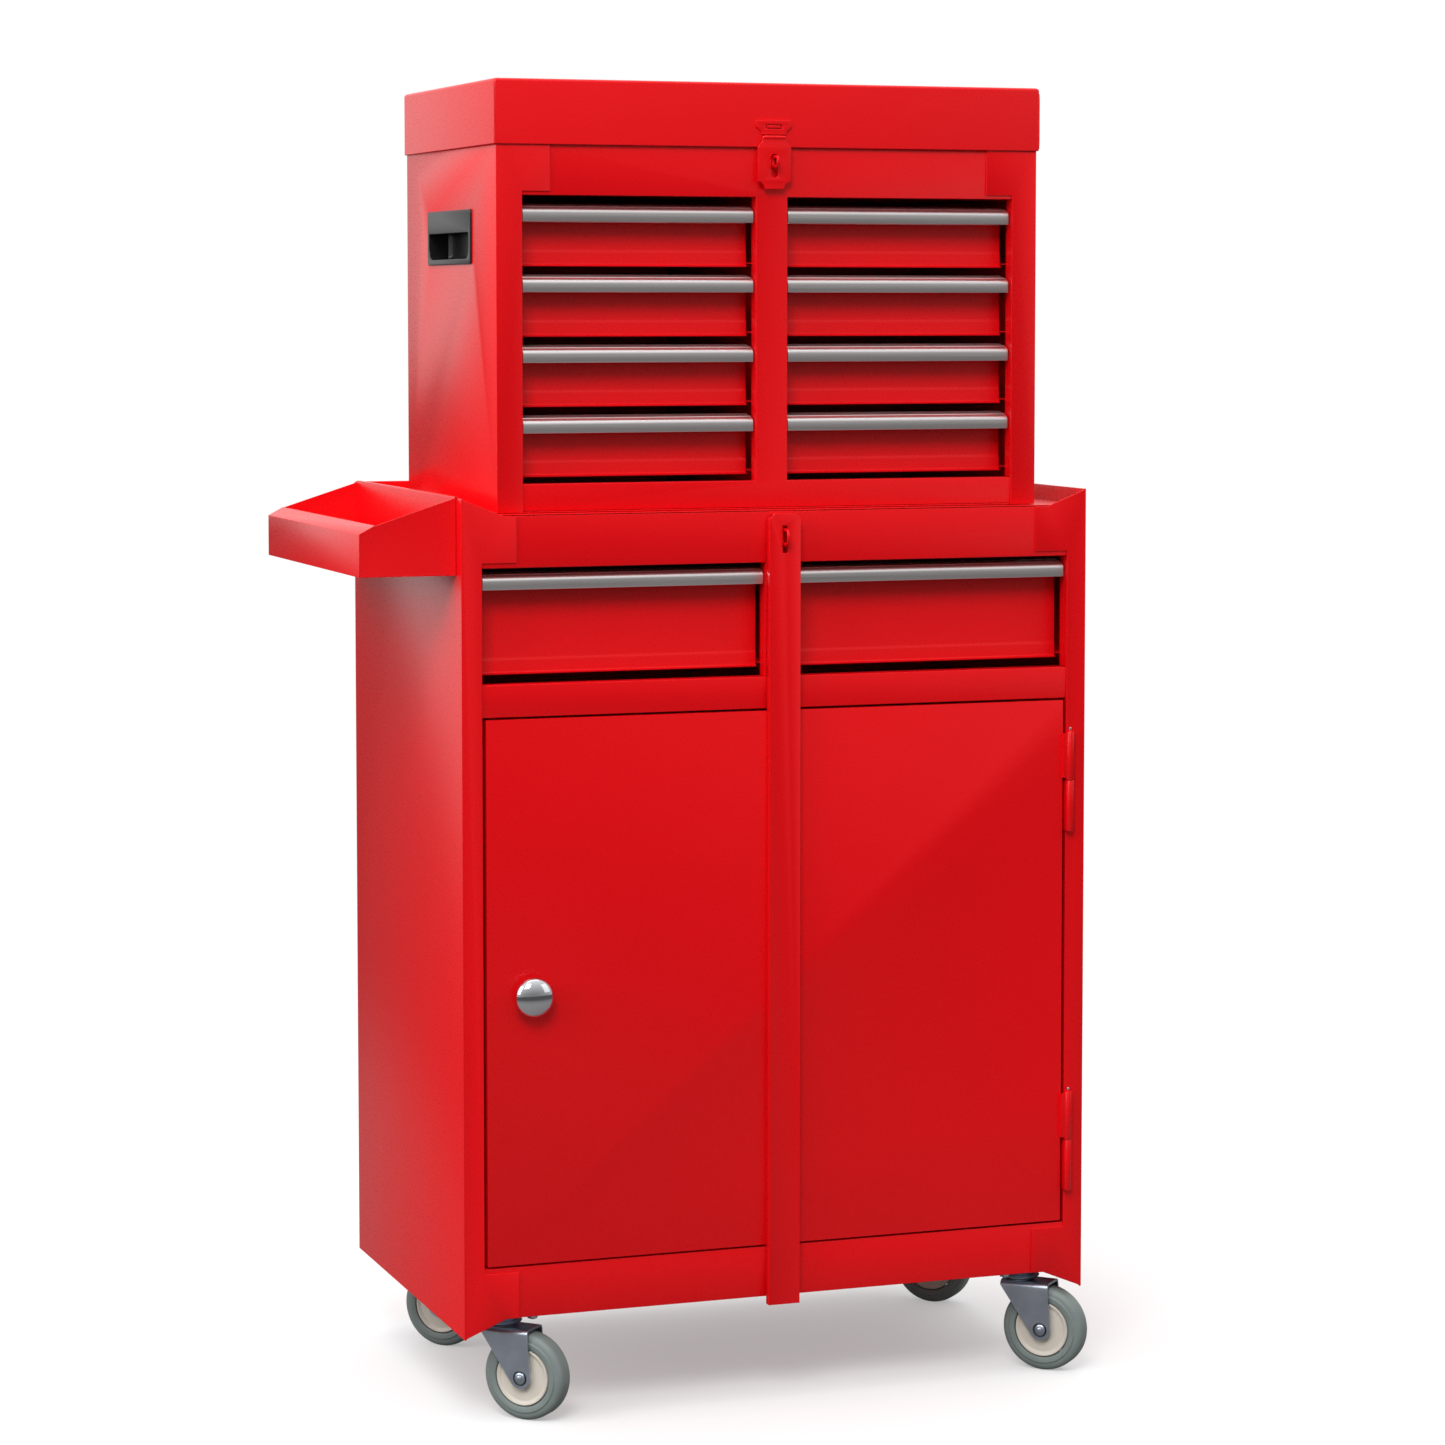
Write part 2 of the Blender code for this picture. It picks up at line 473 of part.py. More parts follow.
# ---------------------------------------------------------------- casters
def caster(where, x, y):
    """Top plate and race on the cabinet; fork with its axle bolt; wheel hub and tyre on the bolt."""
    top = RAIL_LOW - GAP
    plate_low = top - PLATE_T
    crown_low = 2 * WHEEL_R + CROWN_CLEAR
    crown_top = crown_low + CROWN_T
    plate = box((x - PLATE_L / 2, y - PLATE_W / 2, plate_low), (x + PLATE_L / 2, y + PLATE_W / 2, top))
    race_low, race_high = crown_top + GAP, plate_low + GAP
    race = rod((x, y, (race_low + race_high) / 2), RACE_R, race_high - race_low, sides=24)
    merge(f"caster_{where}_plate", ZINC, plate, [race])

    leg_in = HUB_W / 2 + FORK_SLIP
    leg_out = leg_in + FORK_T
    turn = Matrix.Translation((x, y, 0)) @ Matrix.Rotation(CASTER_TURN, 4, "Z")
    crown = box((-RACE_R, -leg_out, crown_low), (CASTER_TRAIL + CROWN_PAST, leg_out, crown_top))
    eye, low_eye = FORK_EYE, WHEEL_R - FORK_EYE
    leg_outline = [(-RACE_R, crown_top - CROWN_T / 2), (-RACE_R, crown_low - FORK_SKIRT),
                   (CASTER_TRAIL - eye, low_eye + FORK_CHAMFER), (CASTER_TRAIL - eye + FORK_CHAMFER, low_eye),
                   (CASTER_TRAIL + eye - FORK_CHAMFER, low_eye), (CASTER_TRAIL + eye, low_eye + FORK_CHAMFER),
                   (CASTER_TRAIL + eye, WHEEL_R + FORK_CHAMFER),
                   (CASTER_TRAIL + CROWN_PAST, crown_top - CROWN_T / 2)]
    legs = [prism(leg_outline, -leg_out, -leg_in), prism(leg_outline, leg_in, leg_out)]
    axle = rod((CASTER_TRAIL, 0, WHEEL_R), AXLE_R, 2 * (leg_out + AXLE_PROUD), axis="Y")
    for shape in (crown, *legs, axle):
        turn_shape(shape, turn)
    merge(f"caster_{where}_fork", ZINC, crown, [*legs, axle], origin=(x, y, 0))

    place = turn @ Matrix.Translation((CASTER_TRAIL, 0, WHEEL_R)) @ Matrix.Rotation(math.pi / 2, 4, "X")
    half, edge = HUB_W / 2, 0.001
    hub = turned([(HUB_R - GAP, half - edge), (HUB_R - GAP, edge - half), (HUB_R - GAP - edge, -half),
                  (BORE_R, -half), (BORE_R, half), (HUB_R - GAP - edge, half)])
    half, wall, shoulder = TYRE_W / 2, WHEEL_R - 0.0055, WHEEL_R - 0.0016
    upper = [(HUB_R, half - edge), (HUB_R + edge, half), (wall, half), (shoulder, half - 0.003),
             (WHEEL_R, half - 0.0075)]
    tyre = turned(upper + [(radius, -height) for radius, height in reversed(upper)], steps=32)
    for shape, piece, spec in ((hub, "hub", HUB_CREAM), (tyre, "tyre", TYRE_GREY)):
        made = merge(f"caster_{where}_{piece}", spec, shape)
        made.matrix_local = place


# ---------------------------------------------------------------- chest casing
def chest_shell():
    """Sides and back from one folded sheet, with stiles, top tabs, grip holes and drawer runners."""
    x, half, lap = CHEST_OFF_X, CHEST_HALF, CHEST_HALF - CHEST_TOP_LAP
    shell = folded([(x - lap, CHEST_FRONT), (x - half, CHEST_FRONT), (x - half, CHEST_REAR),
                    (x + half, CHEST_REAR), (x + half, CHEST_FRONT), (x + lap, CHEST_FRONT)],
                   CHEST_LOW, CHEST_TOP)
    joined, cut = [], []
    grip_low, grip_high, grip_mid = grip_place()
    for side in (-1, 1):
        def span(inner, outer, low, high, front, back):
            """A box between two distances from the chest's middle plane, on this side."""
            ends = sorted((x + side * inner, x + side * outer))
            return box((ends[0], front, low), (ends[1], back, high))
        cut.append(span(lap - SHEET, CHEST_OPEN, CHEST_LOW - SHEET, BAY_TOP + CHEST_TAB_SHORT,
                        CHEST_FRONT - SHEET, CHEST_FRONT + SHEET + GAP))
        cut.append(span(half - 2 * SHEET, half + SHEET, grip_low + GRIP_RIM, grip_high - GRIP_RIM,
                        grip_mid - GRIP_L / 2 + GRIP_RIM, grip_mid + GRIP_L / 2 - GRIP_RIM))
        joined.append(span(CHEST_OPEN, CHEST_OPEN + SHEET, BAY_LOW + GAP, BAY_TOP - GAP,
                           CHEST_FRONT + SHEET / 2, FRAME_BACK))
        for row in range(ROWS):
            size = chest_row(row)
            rest = size["low"] + BOX_LIFT - RUNNER_REST
            joined.append(span(size["outer"] - BOX_SIDE - RUNNER_BITE, half - SHEET / 2,
                               rest - RUNNER_T, rest,
                               size["face"] + SHEET + GAP, CHEST_REAR - SHEET / 2))
    merge("chest_shell", STEEL_RED, shell, joined, cut)


def grip_place():
    """Low edge, high edge and middle of the hand grips in the chest's sides."""
    low = chest_row(ROWS - 1)["low"] + BOX_LIFT + GRIP_LIFT - GRIP_RIM
    return low, low + GRIP_H, (CHEST_FRONT + CHEST_REAR) / 2


def grip(name, side):
    """A black moulded hand recess: rim outside the casing, hollow inside it, and a lip to pull on."""
    low, high, mid = grip_place()
    wall = CHEST_OFF_X + side * CHEST_HALF
    rim_out, deep = wall + side * (GAP + GRIP_WALL), wall - side * GRIP_DEEP
    fit = GRIP_RIM + GAP

    def span(near, far, inset, base, top):
        ends = sorted((near, far))
        return (ends[0], mid - GRIP_L / 2 + inset, base), (ends[1], mid + GRIP_L / 2 - inset, top)
    hollow = pan(*span(rim_out, deep, fit, low + fit, high - fit), (side, 0, 0), GRIP_WALL)
    rim = box(*span(rim_out, wall + side * GAP, 0, low, high))
    mouth, lip_low = fit + GRIP_WALL, high - GRIP_H * GRIP_LIP_SHARE
    sunk = fit + GRIP_WALL / 6          # the lip's ends lie inside the hollow's walls
    lip = box(*span(rim_out, wall - side * GRIP_LIP_T, sunk, lip_low, high - sunk))
    window = box(*span(rim_out + side * SHEET, wall - side * (GRIP_LIP_T + SHEET),
                       mouth, low + mouth, lip_low))
    merge(name, BLACK, hollow, [rim, lip], [window])


def chest_frame():
    inner = CHEST_HALF - INSIDE
    back = CHEST_REAR - INSIDE
    x = CHEST_OFF_X
    foot = CHEST_LOW + SHEET + GAP
    merge("chest_bottom_pan", STEEL_RED,
          box((x - inner, FRAME_FRONT, CHEST_LOW), (x + inner, back, CHEST_LOW + SHEET)),
          [box((x - inner, back - SHEET, CHEST_LOW + SHEET / 2), (x + inner, back, CHEST_LOW + FLANGE))])
    frame = box((x - inner, FRAME_FRONT, foot), (x + inner, FRAME_BACK, CHEST_TOP - SHEET))
    cut = []
    for side in (-1, 1):
        ends = sorted((x + side * POST, x + side * CHEST_OPEN))
        cut.append(box((ends[0], FRAME_FRONT - SHEET, BAY_LOW), (ends[1], FRAME_BACK + SHEET, BAY_TOP)))
        ends = sorted((x + side * CHEST_OPEN, x + side * (inner + SHEET)))
        cut.append(box((ends[0] - GAP, FRAME_FRONT - SHEET, BAY_LOW), (ends[1], FRAME_BACK + SHEET, BAY_TOP)))
    hollow = FRAME_FRONT + SHEET
    wide = inner + SHEET
    for low, high, half in ((foot, BAY_LOW, wide), (BAY_TOP, CHEST_TOP - SHEET, wide),
                            (BAY_LOW - FLANGE / 2, BAY_TOP + FLANGE / 2, POST - SHEET)):
        cut.append(box((x - half, hollow, low + SHEET), (x + half, FRAME_BACK + SHEET, high - SHEET)))
    plate, eye = staple(x, FRAME_FRONT, RAIL_SETBACK + LID_GROW + HASP_T + HASP_PLAY + STAPLE_OUT,
                        LID_LOW + HASP_AXIS_UP - HASP_STAPLE_DROP - HASP_STAPLE_H, HASP_STAPLE_H)
    merge("chest_front_frame", STEEL_RED, frame, [plate], [*cut, eye])

    web = box((x - SHEET / 2, FRAME_BACK + GAP, foot + GAP),
              (x + SHEET / 2, back - SHEET - GAP, BAY_TOP - GAP))
    runners = []
    for row in range(ROWS):
        size = chest_row(row)
        rest = size["low"] + BOX_LIFT - RUNNER_REST
        reach = size["inner"] + BOX_SIDE + RUNNER_BITE
        runners.append(box((x - reach, size["face"] + SHEET + GAP, rest - RUNNER_T),
                           (x + reach, back - SHEET - GAP, rest)))
    merge("chest_divider", STEEL_RED, web, runners)
    till = pan((x - inner, FRAME_BACK + GAP, BAY_TOP + GAP), (x + inner, back, BAY_TOP + FLANGE), (0, 0, 1))
    merge("chest_till_floor", STEEL_RED, till)
    for name, side in (("chest_left_grip", -1), ("chest_right_grip", 1)):
        grip(name, side)


# ---------------------------------------------------------------- lid, its hinge pin and hasp
def lid_group():
    x = CHEST_OFF_X
    half = CHEST_HALF + LID_GROW
    front, rear = CHEST_FRONT - LID_GROW, CHEST_REAR + LID_GROW
    pin_y, pin_z = CHEST_REAR + LID_PIN_OUT, LID_LOW - LID_PIN_LOW
    shell = pan((x - half, front, LID_LOW), (x + half, rear, LID_TOP), (0, 0, -1))
    axis_y, axis_z = front - HASP_T - HASP_OFF, LID_LOW + HASP_AXIS_UP
    wing_low = axis_z + HASP_BARREL_R + 2 * GAP
    wing = box((x - HASP_W / 2 - SHEET, front - HASP_T, wing_low),
               (x + HASP_W / 2 + SHEET, front + SHEET / 2, wing_low + HASP_WING_H))
    merge("lid_shell", STEEL_RED, shell, [wing], origin=(x, pin_y, pin_z))
    pin = rod((x, pin_y, pin_z), LID_PIN_R, 2 * (CHEST_HALF - LEAF_INSET / 2), axis="X", sides=12)
    leaf_back, leaf_half = CHEST_REAR + GAP, CHEST_HALF - LEAF_INSET
    leaf_top = pin_z - LID_PIN_R / 2
    leaf = box((x - leaf_half, leaf_back, pin_z - LEAF_H), (x + leaf_half, leaf_back + SHEET, leaf_top))
    bridge = box((x - leaf_half, leaf_back + SHEET / 2, pin_z - LID_PIN_R), (x + leaf_half, pin_y, leaf_top))
    merge("lid_hinge_pin", STEEL_RED, leaf, [bridge, pin], origin=(x, pin_y, pin_z))

    barrel = rod((x, axis_y, axis_z), HASP_BARREL_R, HASP_W * 0.8, axis="X", sides=12)
    low, near, far = axis_z - HASP_DROP, axis_y - HASP_T / 2, axis_y + HASP_T / 2
    plate = box((x - HASP_W / 2, near, low), (x + HASP_W / 2, far, axis_z))
    tab = box((x - HASP_TAB_W / 2, near, low - HASP_TAB_H), (x + HASP_TAB_W / 2, far, low + SHEET))
    slot_top = axis_z - HASP_SLOT_TOP
    slot = box((x - HASP_SLOT_W / 2, near - SHEET, slot_top - HASP_SLOT_H),
               (x + HASP_SLOT_W / 2, far + SHEET, slot_top))
    slit = box((x - HASP_SLIT / 2, near - SHEET, low - HASP_TAB_H - SHEET),
               (x + HASP_SLIT / 2, far + SHEET, slot_top - SHEET))
    merge("hasp_plate", STEEL_RED, plate, [tab, barrel], [slot, slit], origin=(x, axis_y, axis_z))


cabinet_shell()
cabinet_frame()
for label, sign in (("left", -1), ("right", 1)):
    drawer(f"base_{label}_drawer", CAB_DRAWER, sign)
    for step in range(ROWS):
        drawer(f"chest_{label}_drawer_{ROWS - step}", chest_row(step), sign, CHEST_OFF_X)
door_group()
side_tray()
for place, across, along in (("front_left", -1, -CASTER_FRONT_Y), ("front_right", 1, -CASTER_FRONT_Y),
                             ("rear_left", -1, CASTER_REAR_Y), ("rear_right", 1, CASTER_REAR_Y)):
    caster(place, across * CASTER_X, along)
chest_shell()
chest_frame()
lid_group()
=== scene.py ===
"""Rolling tool chest: its looks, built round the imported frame. Metres, +Z up, the front faces -Y."""
import json
import math

import bmesh
import bpy
import numpy as np
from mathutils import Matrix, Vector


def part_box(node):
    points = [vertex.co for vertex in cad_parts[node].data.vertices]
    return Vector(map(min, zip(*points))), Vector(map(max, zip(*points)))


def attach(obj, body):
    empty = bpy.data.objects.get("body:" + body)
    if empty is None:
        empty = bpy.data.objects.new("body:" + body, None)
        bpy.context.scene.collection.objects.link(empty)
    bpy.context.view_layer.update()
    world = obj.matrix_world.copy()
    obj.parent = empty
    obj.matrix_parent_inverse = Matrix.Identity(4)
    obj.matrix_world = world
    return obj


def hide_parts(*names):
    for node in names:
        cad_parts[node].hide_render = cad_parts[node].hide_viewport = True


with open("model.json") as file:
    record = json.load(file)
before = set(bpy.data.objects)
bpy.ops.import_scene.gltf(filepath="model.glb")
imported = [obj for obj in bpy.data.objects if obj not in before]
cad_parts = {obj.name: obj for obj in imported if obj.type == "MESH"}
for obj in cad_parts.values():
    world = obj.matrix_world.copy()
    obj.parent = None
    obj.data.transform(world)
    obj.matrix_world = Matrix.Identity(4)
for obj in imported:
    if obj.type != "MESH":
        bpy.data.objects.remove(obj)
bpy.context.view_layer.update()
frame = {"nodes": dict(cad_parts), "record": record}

# The camera stands a little to the left of the front and looks slightly down, through a lens
# long enough that the upright edges stay almost parallel.
view_turn, view_down = math.radians(-19.5165), math.radians(4.0976)
view_reach, view_height, view_middle = 3.4872, 0.9218, (0.04065, 0.009)
camera = bpy.data.objects.new("camera", bpy.data.cameras.new("camera"))
camera.location = (view_middle[0] + math.sin(view_turn) * view_reach,
                   view_middle[1] - math.cos(view_turn) * view_reach, view_height)
camera.rotation_euler = (math.pi / 2 - view_down, 0, view_turn)
camera.data.lens, camera.data.sensor_width = 99.63, 36.0
camera.data.shift_x, camera.data.shift_y = 0.00657, -0.09
bpy.context.collection.objects.link(camera)
bpy.context.scene.camera = camera


# ---------------------------------------------------------------- daylight studio
# A white room with a pale floor. One softbox stands high in front on the left and a broad one lower at
# the left, with a weak fill on the right and a large skylight overhead, so that the shadow stays soft.
def linear(code):
    """An sRGB hex value as linear colour: each channel through the sRGB curve."""
    channels = [int(code[i:i + 2], 16) / 255 for i in (1, 3, 5)]
    return tuple(c / 12.92 if c <= 0.04045 else ((c + 0.055) / 1.055) ** 2.4 for c in channels) + (1.0,)


def put(tree, kind, links=(), **settings):
    """Adds one node. Settings name properties or input sockets; links are (socket, other node, output)."""
    made = tree.nodes.new(kind)
    for key, value in settings.items():
        if hasattr(made, key):
            setattr(made, key, value)
        else:
            wanted = key.replace("_", " ").lower()
            next(s for s in made.inputs if s.name.lower() == wanted).default_value = value
    for socket, other, output in links:
        tree.links.new(other.outputs[output], made.inputs[socket])
    return made


def finish_nodes(name):
    """A new material, and its emptied tree."""
    made = bpy.data.materials.new(name)
    made.use_nodes = True
    made.node_tree.nodes.clear()
    return made, made.node_tree


def close_finish(tree, shader):
    """Ends a material's tree with its output node."""
    put(tree, "ShaderNodeOutputMaterial", [("Surface", shader, 0)])


def softbox(name, place, target, width, power):
    """A square white area light, of that width in metres and power in watts, turned towards its target."""
    lamp = bpy.data.lights.new(name, "AREA")
    lamp.shape, lamp.size, lamp.size_y = "RECTANGLE", width, width
    lamp.energy = power
    stand = bpy.data.objects.new(name, lamp)
    stand.location = place
    aim = np.array(target, float) - np.array(place, float)
    stand.rotation_euler = (math.atan2(math.hypot(aim[0], aim[1]), -aim[2]), 0,
                            math.atan2(aim[1], aim[0]) - math.pi / 2)
    bpy.context.collection.objects.link(stand)


softbox("softbox_high", (-1.5, -2.9, 3.3), (0.1, 0, 0.75), 1.6, 90)
softbox("softbox_left", (-3.2, -0.6, 2.0), (0, 0, 0.75), 2.2, 46)
softbox("fill_right", (2.9, -2.0, 1.9), (0, 0, 0.6), 2.2, 9)
softbox("skylight", (0.1, 0.6, 3.3), (0.1, 0.3, 0.0), 2.6, 22)

room = bpy.data.worlds.new("white_room")
bpy.context.scene.world = room
room.use_nodes = True
room.node_tree.nodes.clear()
tree = room.node_tree
# Behind the object the room is bright; on the camera's side it is dim, so that the red keeps its depth.
aim = put(tree, "ShaderNodeTexCoord")
split = put(tree, "ShaderNodeSeparateXYZ", [(0, aim, "Generated")])
dim_side, bright_side, overhead_share = 0.26, 0.85, 0.60
depth = put(tree, "ShaderNodeMapRange", [("Value", split, "Y")], From_Min=-1.0, From_Max=1.0,
            To_Min=dim_side, To_Max=bright_side)
seen = put(tree, "ShaderNodeLightPath")
overhead = put(tree, "ShaderNodeMapRange", [("Value", split, "Z")], From_Min=0.1, From_Max=1.0,
               To_Min=0.0, To_Max=overhead_share)
both = put(tree, "ShaderNodeMath", [(0, depth, 0), (1, overhead, 0)], operation="ADD")
strength = put(tree, "ShaderNodeMix", [(0, seen, "Is Camera Ray"), (2, both, 0)], data_type="FLOAT")
strength.inputs[3].default_value = 1.0
backdrop = put(tree, "ShaderNodeBackground", [("Strength", strength, 0)], Color=linear("#FFFFFF"))
put(tree, "ShaderNodeOutputWorld", [("Surface", backdrop, 0)])
bpy.context.scene.view_settings.view_transform = "Standard"

floor_reach, fade_start, fade_end, floor_glow = 14.0, 0.75, 1.9, 0.36
floor_mesh = bpy.data.meshes.new("studio_floor")
floor_mesh.from_pydata([(-floor_reach, -floor_reach, 0), (floor_reach, -floor_reach, 0),
                        (floor_reach, floor_reach, 0), (-floor_reach, floor_reach, 0)], [], [(0, 1, 2, 3)])
studio_floor = bpy.data.objects.new("studio_floor", floor_mesh)
bpy.context.collection.objects.link(studio_floor)
paper, tree = finish_nodes("white_paper")
# The paper glows, a painted light: near the cabinet about a third of it is glow, which lightens the shadow
# under it, and towards its edges it glows in full, as a lit sweep does, so that no horizon shows.
where = put(tree, "ShaderNodeTexCoord")
reach = put(tree, "ShaderNodeVectorMath", [(0, where, "Object")], operation="LENGTH")
glow = put(tree, "ShaderNodeMapRange", [("Value", reach, "Value")], interpolation_type="SMOOTHSTEP",
           From_Min=fade_start, From_Max=fade_end, To_Min=floor_glow, To_Max=1.0)
seen = put(tree, "ShaderNodeLightPath")
shade = put(tree, "ShaderNodeMix", [(0, seen, "Is Camera Ray")], data_type="RGBA")
shade.inputs[6].default_value, shade.inputs[7].default_value = linear("#8C8C8C"), linear("#F4F4F4")
matt = put(tree, "ShaderNodeBsdfDiffuse", [("Color", shade, 2)])
level = put(tree, "ShaderNodeMapRange", [("Value", seen, "Is Camera Ray")], To_Min=0.10, To_Max=1.0)
white = put(tree, "ShaderNodeEmission", [("Strength", level, 0)], Color=linear("#FFFFFF"))
close_finish(tree, put(tree, "ShaderNodeMixShader", [(0, glow, 0), (1, matt, 0), (2, white, 0)]))
floor_mesh.materials.append(paper)


# ---------------------------------------------------------------- powder-coated sheet steel
# The casings, rails, pans and the door are 1 mm steel, folded and spot-welded, then sprayed with
# red polyester powder and baked. The coat flows round every fold, so each edge has a small radius.
home = {name: body for body, names in frame["record"]["behaviour"]["bodies"].items() for name in names}


def powder_coat():
    """Glossy powder coat: a clear skin over a slightly uneven red, with orange peel of about 1.5 mm."""
    made, tree = finish_nodes("red_powder_coat")
    where = put(tree, "ShaderNodeTexCoord")
    drift = put(tree, "ShaderNodeTexNoise", [("Vector", where, "Object")], Scale=9.0, Detail=3.0)
    tint = put(tree, "ShaderNodeMix", [(0, drift, "Fac")], data_type="RGBA")
    tint.inputs[6].default_value, tint.inputs[7].default_value = linear("#E4060F"), linear("#E80812")
    peel = put(tree, "ShaderNodeTexNoise", [("Vector", where, "Object")], Scale=650.0, Detail=1.0)
    swell = put(tree, "ShaderNodeTexNoise", [("Vector", where, "Object")], Scale=11.0, Detail=0.0)
    gloss = put(tree, "ShaderNodeMapRange", [("Value", peel, "Fac")], To_Min=0.24, To_Max=0.33)
    fine = put(tree, "ShaderNodeBump", [("Height", peel, "Fac")], Strength=0.05, Distance=0.0004)
    wave = put(tree, "ShaderNodeBump", [("Height", swell, "Fac"), ("Normal", fine, 0)], Strength=0.12,
               Distance=0.0015)
    shader = put(tree, "ShaderNodeBsdfPrincipled",
                 [("Base Color", tint, 2), ("Roughness", gloss, 0), ("Normal", wave, 0)],
                 IOR=1.45, Specular_IOR_Level=0.3, Coat_Weight=0.12, Coat_Roughness=0.28, Coat_IOR=1.45)
    close_finish(tree, shader)
    return made


red_coat = powder_coat()


def fit_piece(name, mesh, finish, slot, body, *nodes):
    """Puts a mesh in the scene with its material, the body it rides and the nodes it replaces. The slot is
    not used.
    """
    piece = bpy.data.objects.new(name, mesh)
    bpy.context.collection.objects.link(piece)
    mesh.materials.append(finish)
    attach(piece, body)
    if nodes:
        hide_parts(*nodes)
    return piece


def sheet_copy(node_name, trim=None):
    """The node's own surface with its triangles merged and its flat faces joined. trim may cut it first."""
    bm = bmesh.new()
    bm.from_mesh(frame["nodes"][node_name].data)
    bmesh.ops.remove_doubles(bm, verts=bm.verts, dist=join_within)
    if trim:
        trim(bm)
    bmesh.ops.dissolve_limit(bm, angle_limit=flat_within, verts=bm.verts, edges=bm.edges)
    mesh = bpy.data.meshes.new(node_name + "_steel")
    bm.to_mesh(mesh)
    bm.free()
    return mesh


fold_radius, fold_angle, join_within, flat_within = 0.00045, math.radians(28), 2e-6, math.radians(0.6)


def steel(node_name, trim=None):
    """One folded steel piece in the node's place, each fold rounded and shaded smooth between its flats."""
    piece = fit_piece(node_name + "_steel", sheet_copy(node_name, trim), red_coat, "powder_red",
                      home[node_name], node_name)
    piece.data.shade_smooth()
    folds = piece.modifiers.new("folds", "BEVEL")
    folds.width, folds.segments = fold_radius, 2
    folds.limit_method, folds.angle_limit = "ANGLE", fold_angle
    folds.harden_normals = True


for plain in ("base_shell", "base_top_pan", "base_bottom_pan", "base_mid_rail", "base_bottom_rail",
              "base_divider", "side_tray", "chest_shell", "chest_bottom_pan", "chest_divider",
              "chest_till_floor", "door_panel", "hinge_upper_leaf", "hinge_lower_leaf"):
    steel(plain)


def cut_staple(front):
    """Takes off what stands out in front of a rail and closes the rail's face again."""
    def trim(bm):
        out = [v for v in bm.verts if v.co.y < front - proud_by]
        bmesh.ops.delete(bm, geom=out, context="VERTS")
        bmesh.ops.holes_fill(bm, edges=[e for e in bm.edges if e.is_boundary])
    return trim


proud_by = 0.0004
apron_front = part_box("base_mid_rail")[0].y
frame_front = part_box("chest_bottom_pan")[0].y
steel("base_apron", trim=cut_staple(apron_front))
steel("chest_front_frame", trim=cut_staple(frame_front))


# ---------------------------------------------------------------- lid
# One shallow pan of the same sheet, pressed with a small radius round its top and folded down at the
# sides. Its corner folds are butted and welded, which leaves a fine bead up each front corner.
def skin(name, rows, ring=False):
    """A closed surface through a grid of points: rows run along it, columns round it. A ring's last row
    meets its first; otherwise each end gets a flat face."""
    rows = np.asarray(rows, float)
    index = np.arange(rows.shape[0] * rows.shape[1]).reshape(rows.shape[:2])
    here, there = (index, np.roll(index, -1, axis=0)) if ring else (index[:-1], index[1:])
    quads = np.stack([here, np.roll(here, -1, axis=1), np.roll(there, -1, axis=1), there], axis=-1)
    faces = quads.reshape(-1, 4).tolist()
    if not ring:
        faces += [index[0][::-1].tolist(), index[-1].tolist()]
    mesh = bpy.data.meshes.new(name)
    mesh.from_pydata(rows.reshape(-1, 3).tolist(), [], faces)
    return seal(mesh)


def seal(mesh, *others):
    """Joins meshes into the first, merges doubled points and turns every face outwards."""
    bm = bmesh.new()
    for part in (mesh, *others):
        bm.from_mesh(part)
    bmesh.ops.remove_doubles(bm, verts=bm.verts, dist=1e-6)
    bmesh.ops.dissolve_degenerate(bm, edges=bm.edges, dist=1e-7)
    bmesh.ops.recalc_face_normals(bm, faces=bm.faces)
    bm.to_mesh(mesh)
    bm.free()
    return mesh


def smooth(mesh, angle=32):
    """Shades a mesh smooth, and leaves the edges that are sharper than the angle crisp."""
    mesh.shade_smooth()
    mesh.set_sharp_from_angle(angle=math.radians(angle))
    return mesh


def rounded(corners, radii, steps=7):
    """An outline whose corners are arcs of the given radii, each tangent to both of its sides."""
    corners = np.array(corners, float)
    radii = np.broadcast_to(radii, len(corners))
    out = []
    for i, (corner, radius) in enumerate(zip(corners, radii)):
        back, on = corners[i - 1] - corner, corners[(i + 1) % len(corners)] - corner
        back, on = back / np.linalg.norm(back), on / np.linalg.norm(on)
        if radius <= 0:
            out.append(corner[None])
            continue
        half = math.acos(np.clip(back @ on, -1, 1)) / 2
        centre = corner + (back + on) / np.linalg.norm(back + on) * radius / math.sin(half)
        start = corner + back * radius / math.tan(half) - centre
        end = corner + on * radius / math.tan(half) - centre
        turn = math.pi - 2 * half
        t = np.linspace(0, 1, steps)[:, None]
        out.append(centre + (np.sin((1 - t) * turn) * start + np.sin(t * turn) * end) / math.sin(turn))
    return np.vstack(out)


def nested(low, high, rings):
    """Level rows of rounded rectangles, each (inset, height, corner radius) inside the low-high box."""
    rows = []
    for inset, height, radius in rings:
        x0, y0, x1, y1 = low[0] + inset, low[1] + inset, high[0] - inset, high[1] - inset
        flat = rounded([(x0, y0), (x1, y0), (x1, y1), (x0, y1)], radius)
        rows.append(np.column_stack([flat, np.full(len(flat), height)]))
    return rows


def fillet(inset, height, radius, corner, outwards=True):
    """Rings of a quarter-round edge: from the flat (inset, height) out and down to the wall, or back."""
    turn = np.linspace(0, math.pi / 2, 6)
    rings = [(inset + radius - radius * math.sin(a), height - radius + radius * math.cos(a), corner)
             for a in turn]
    return rings if outwards else rings[::-1]


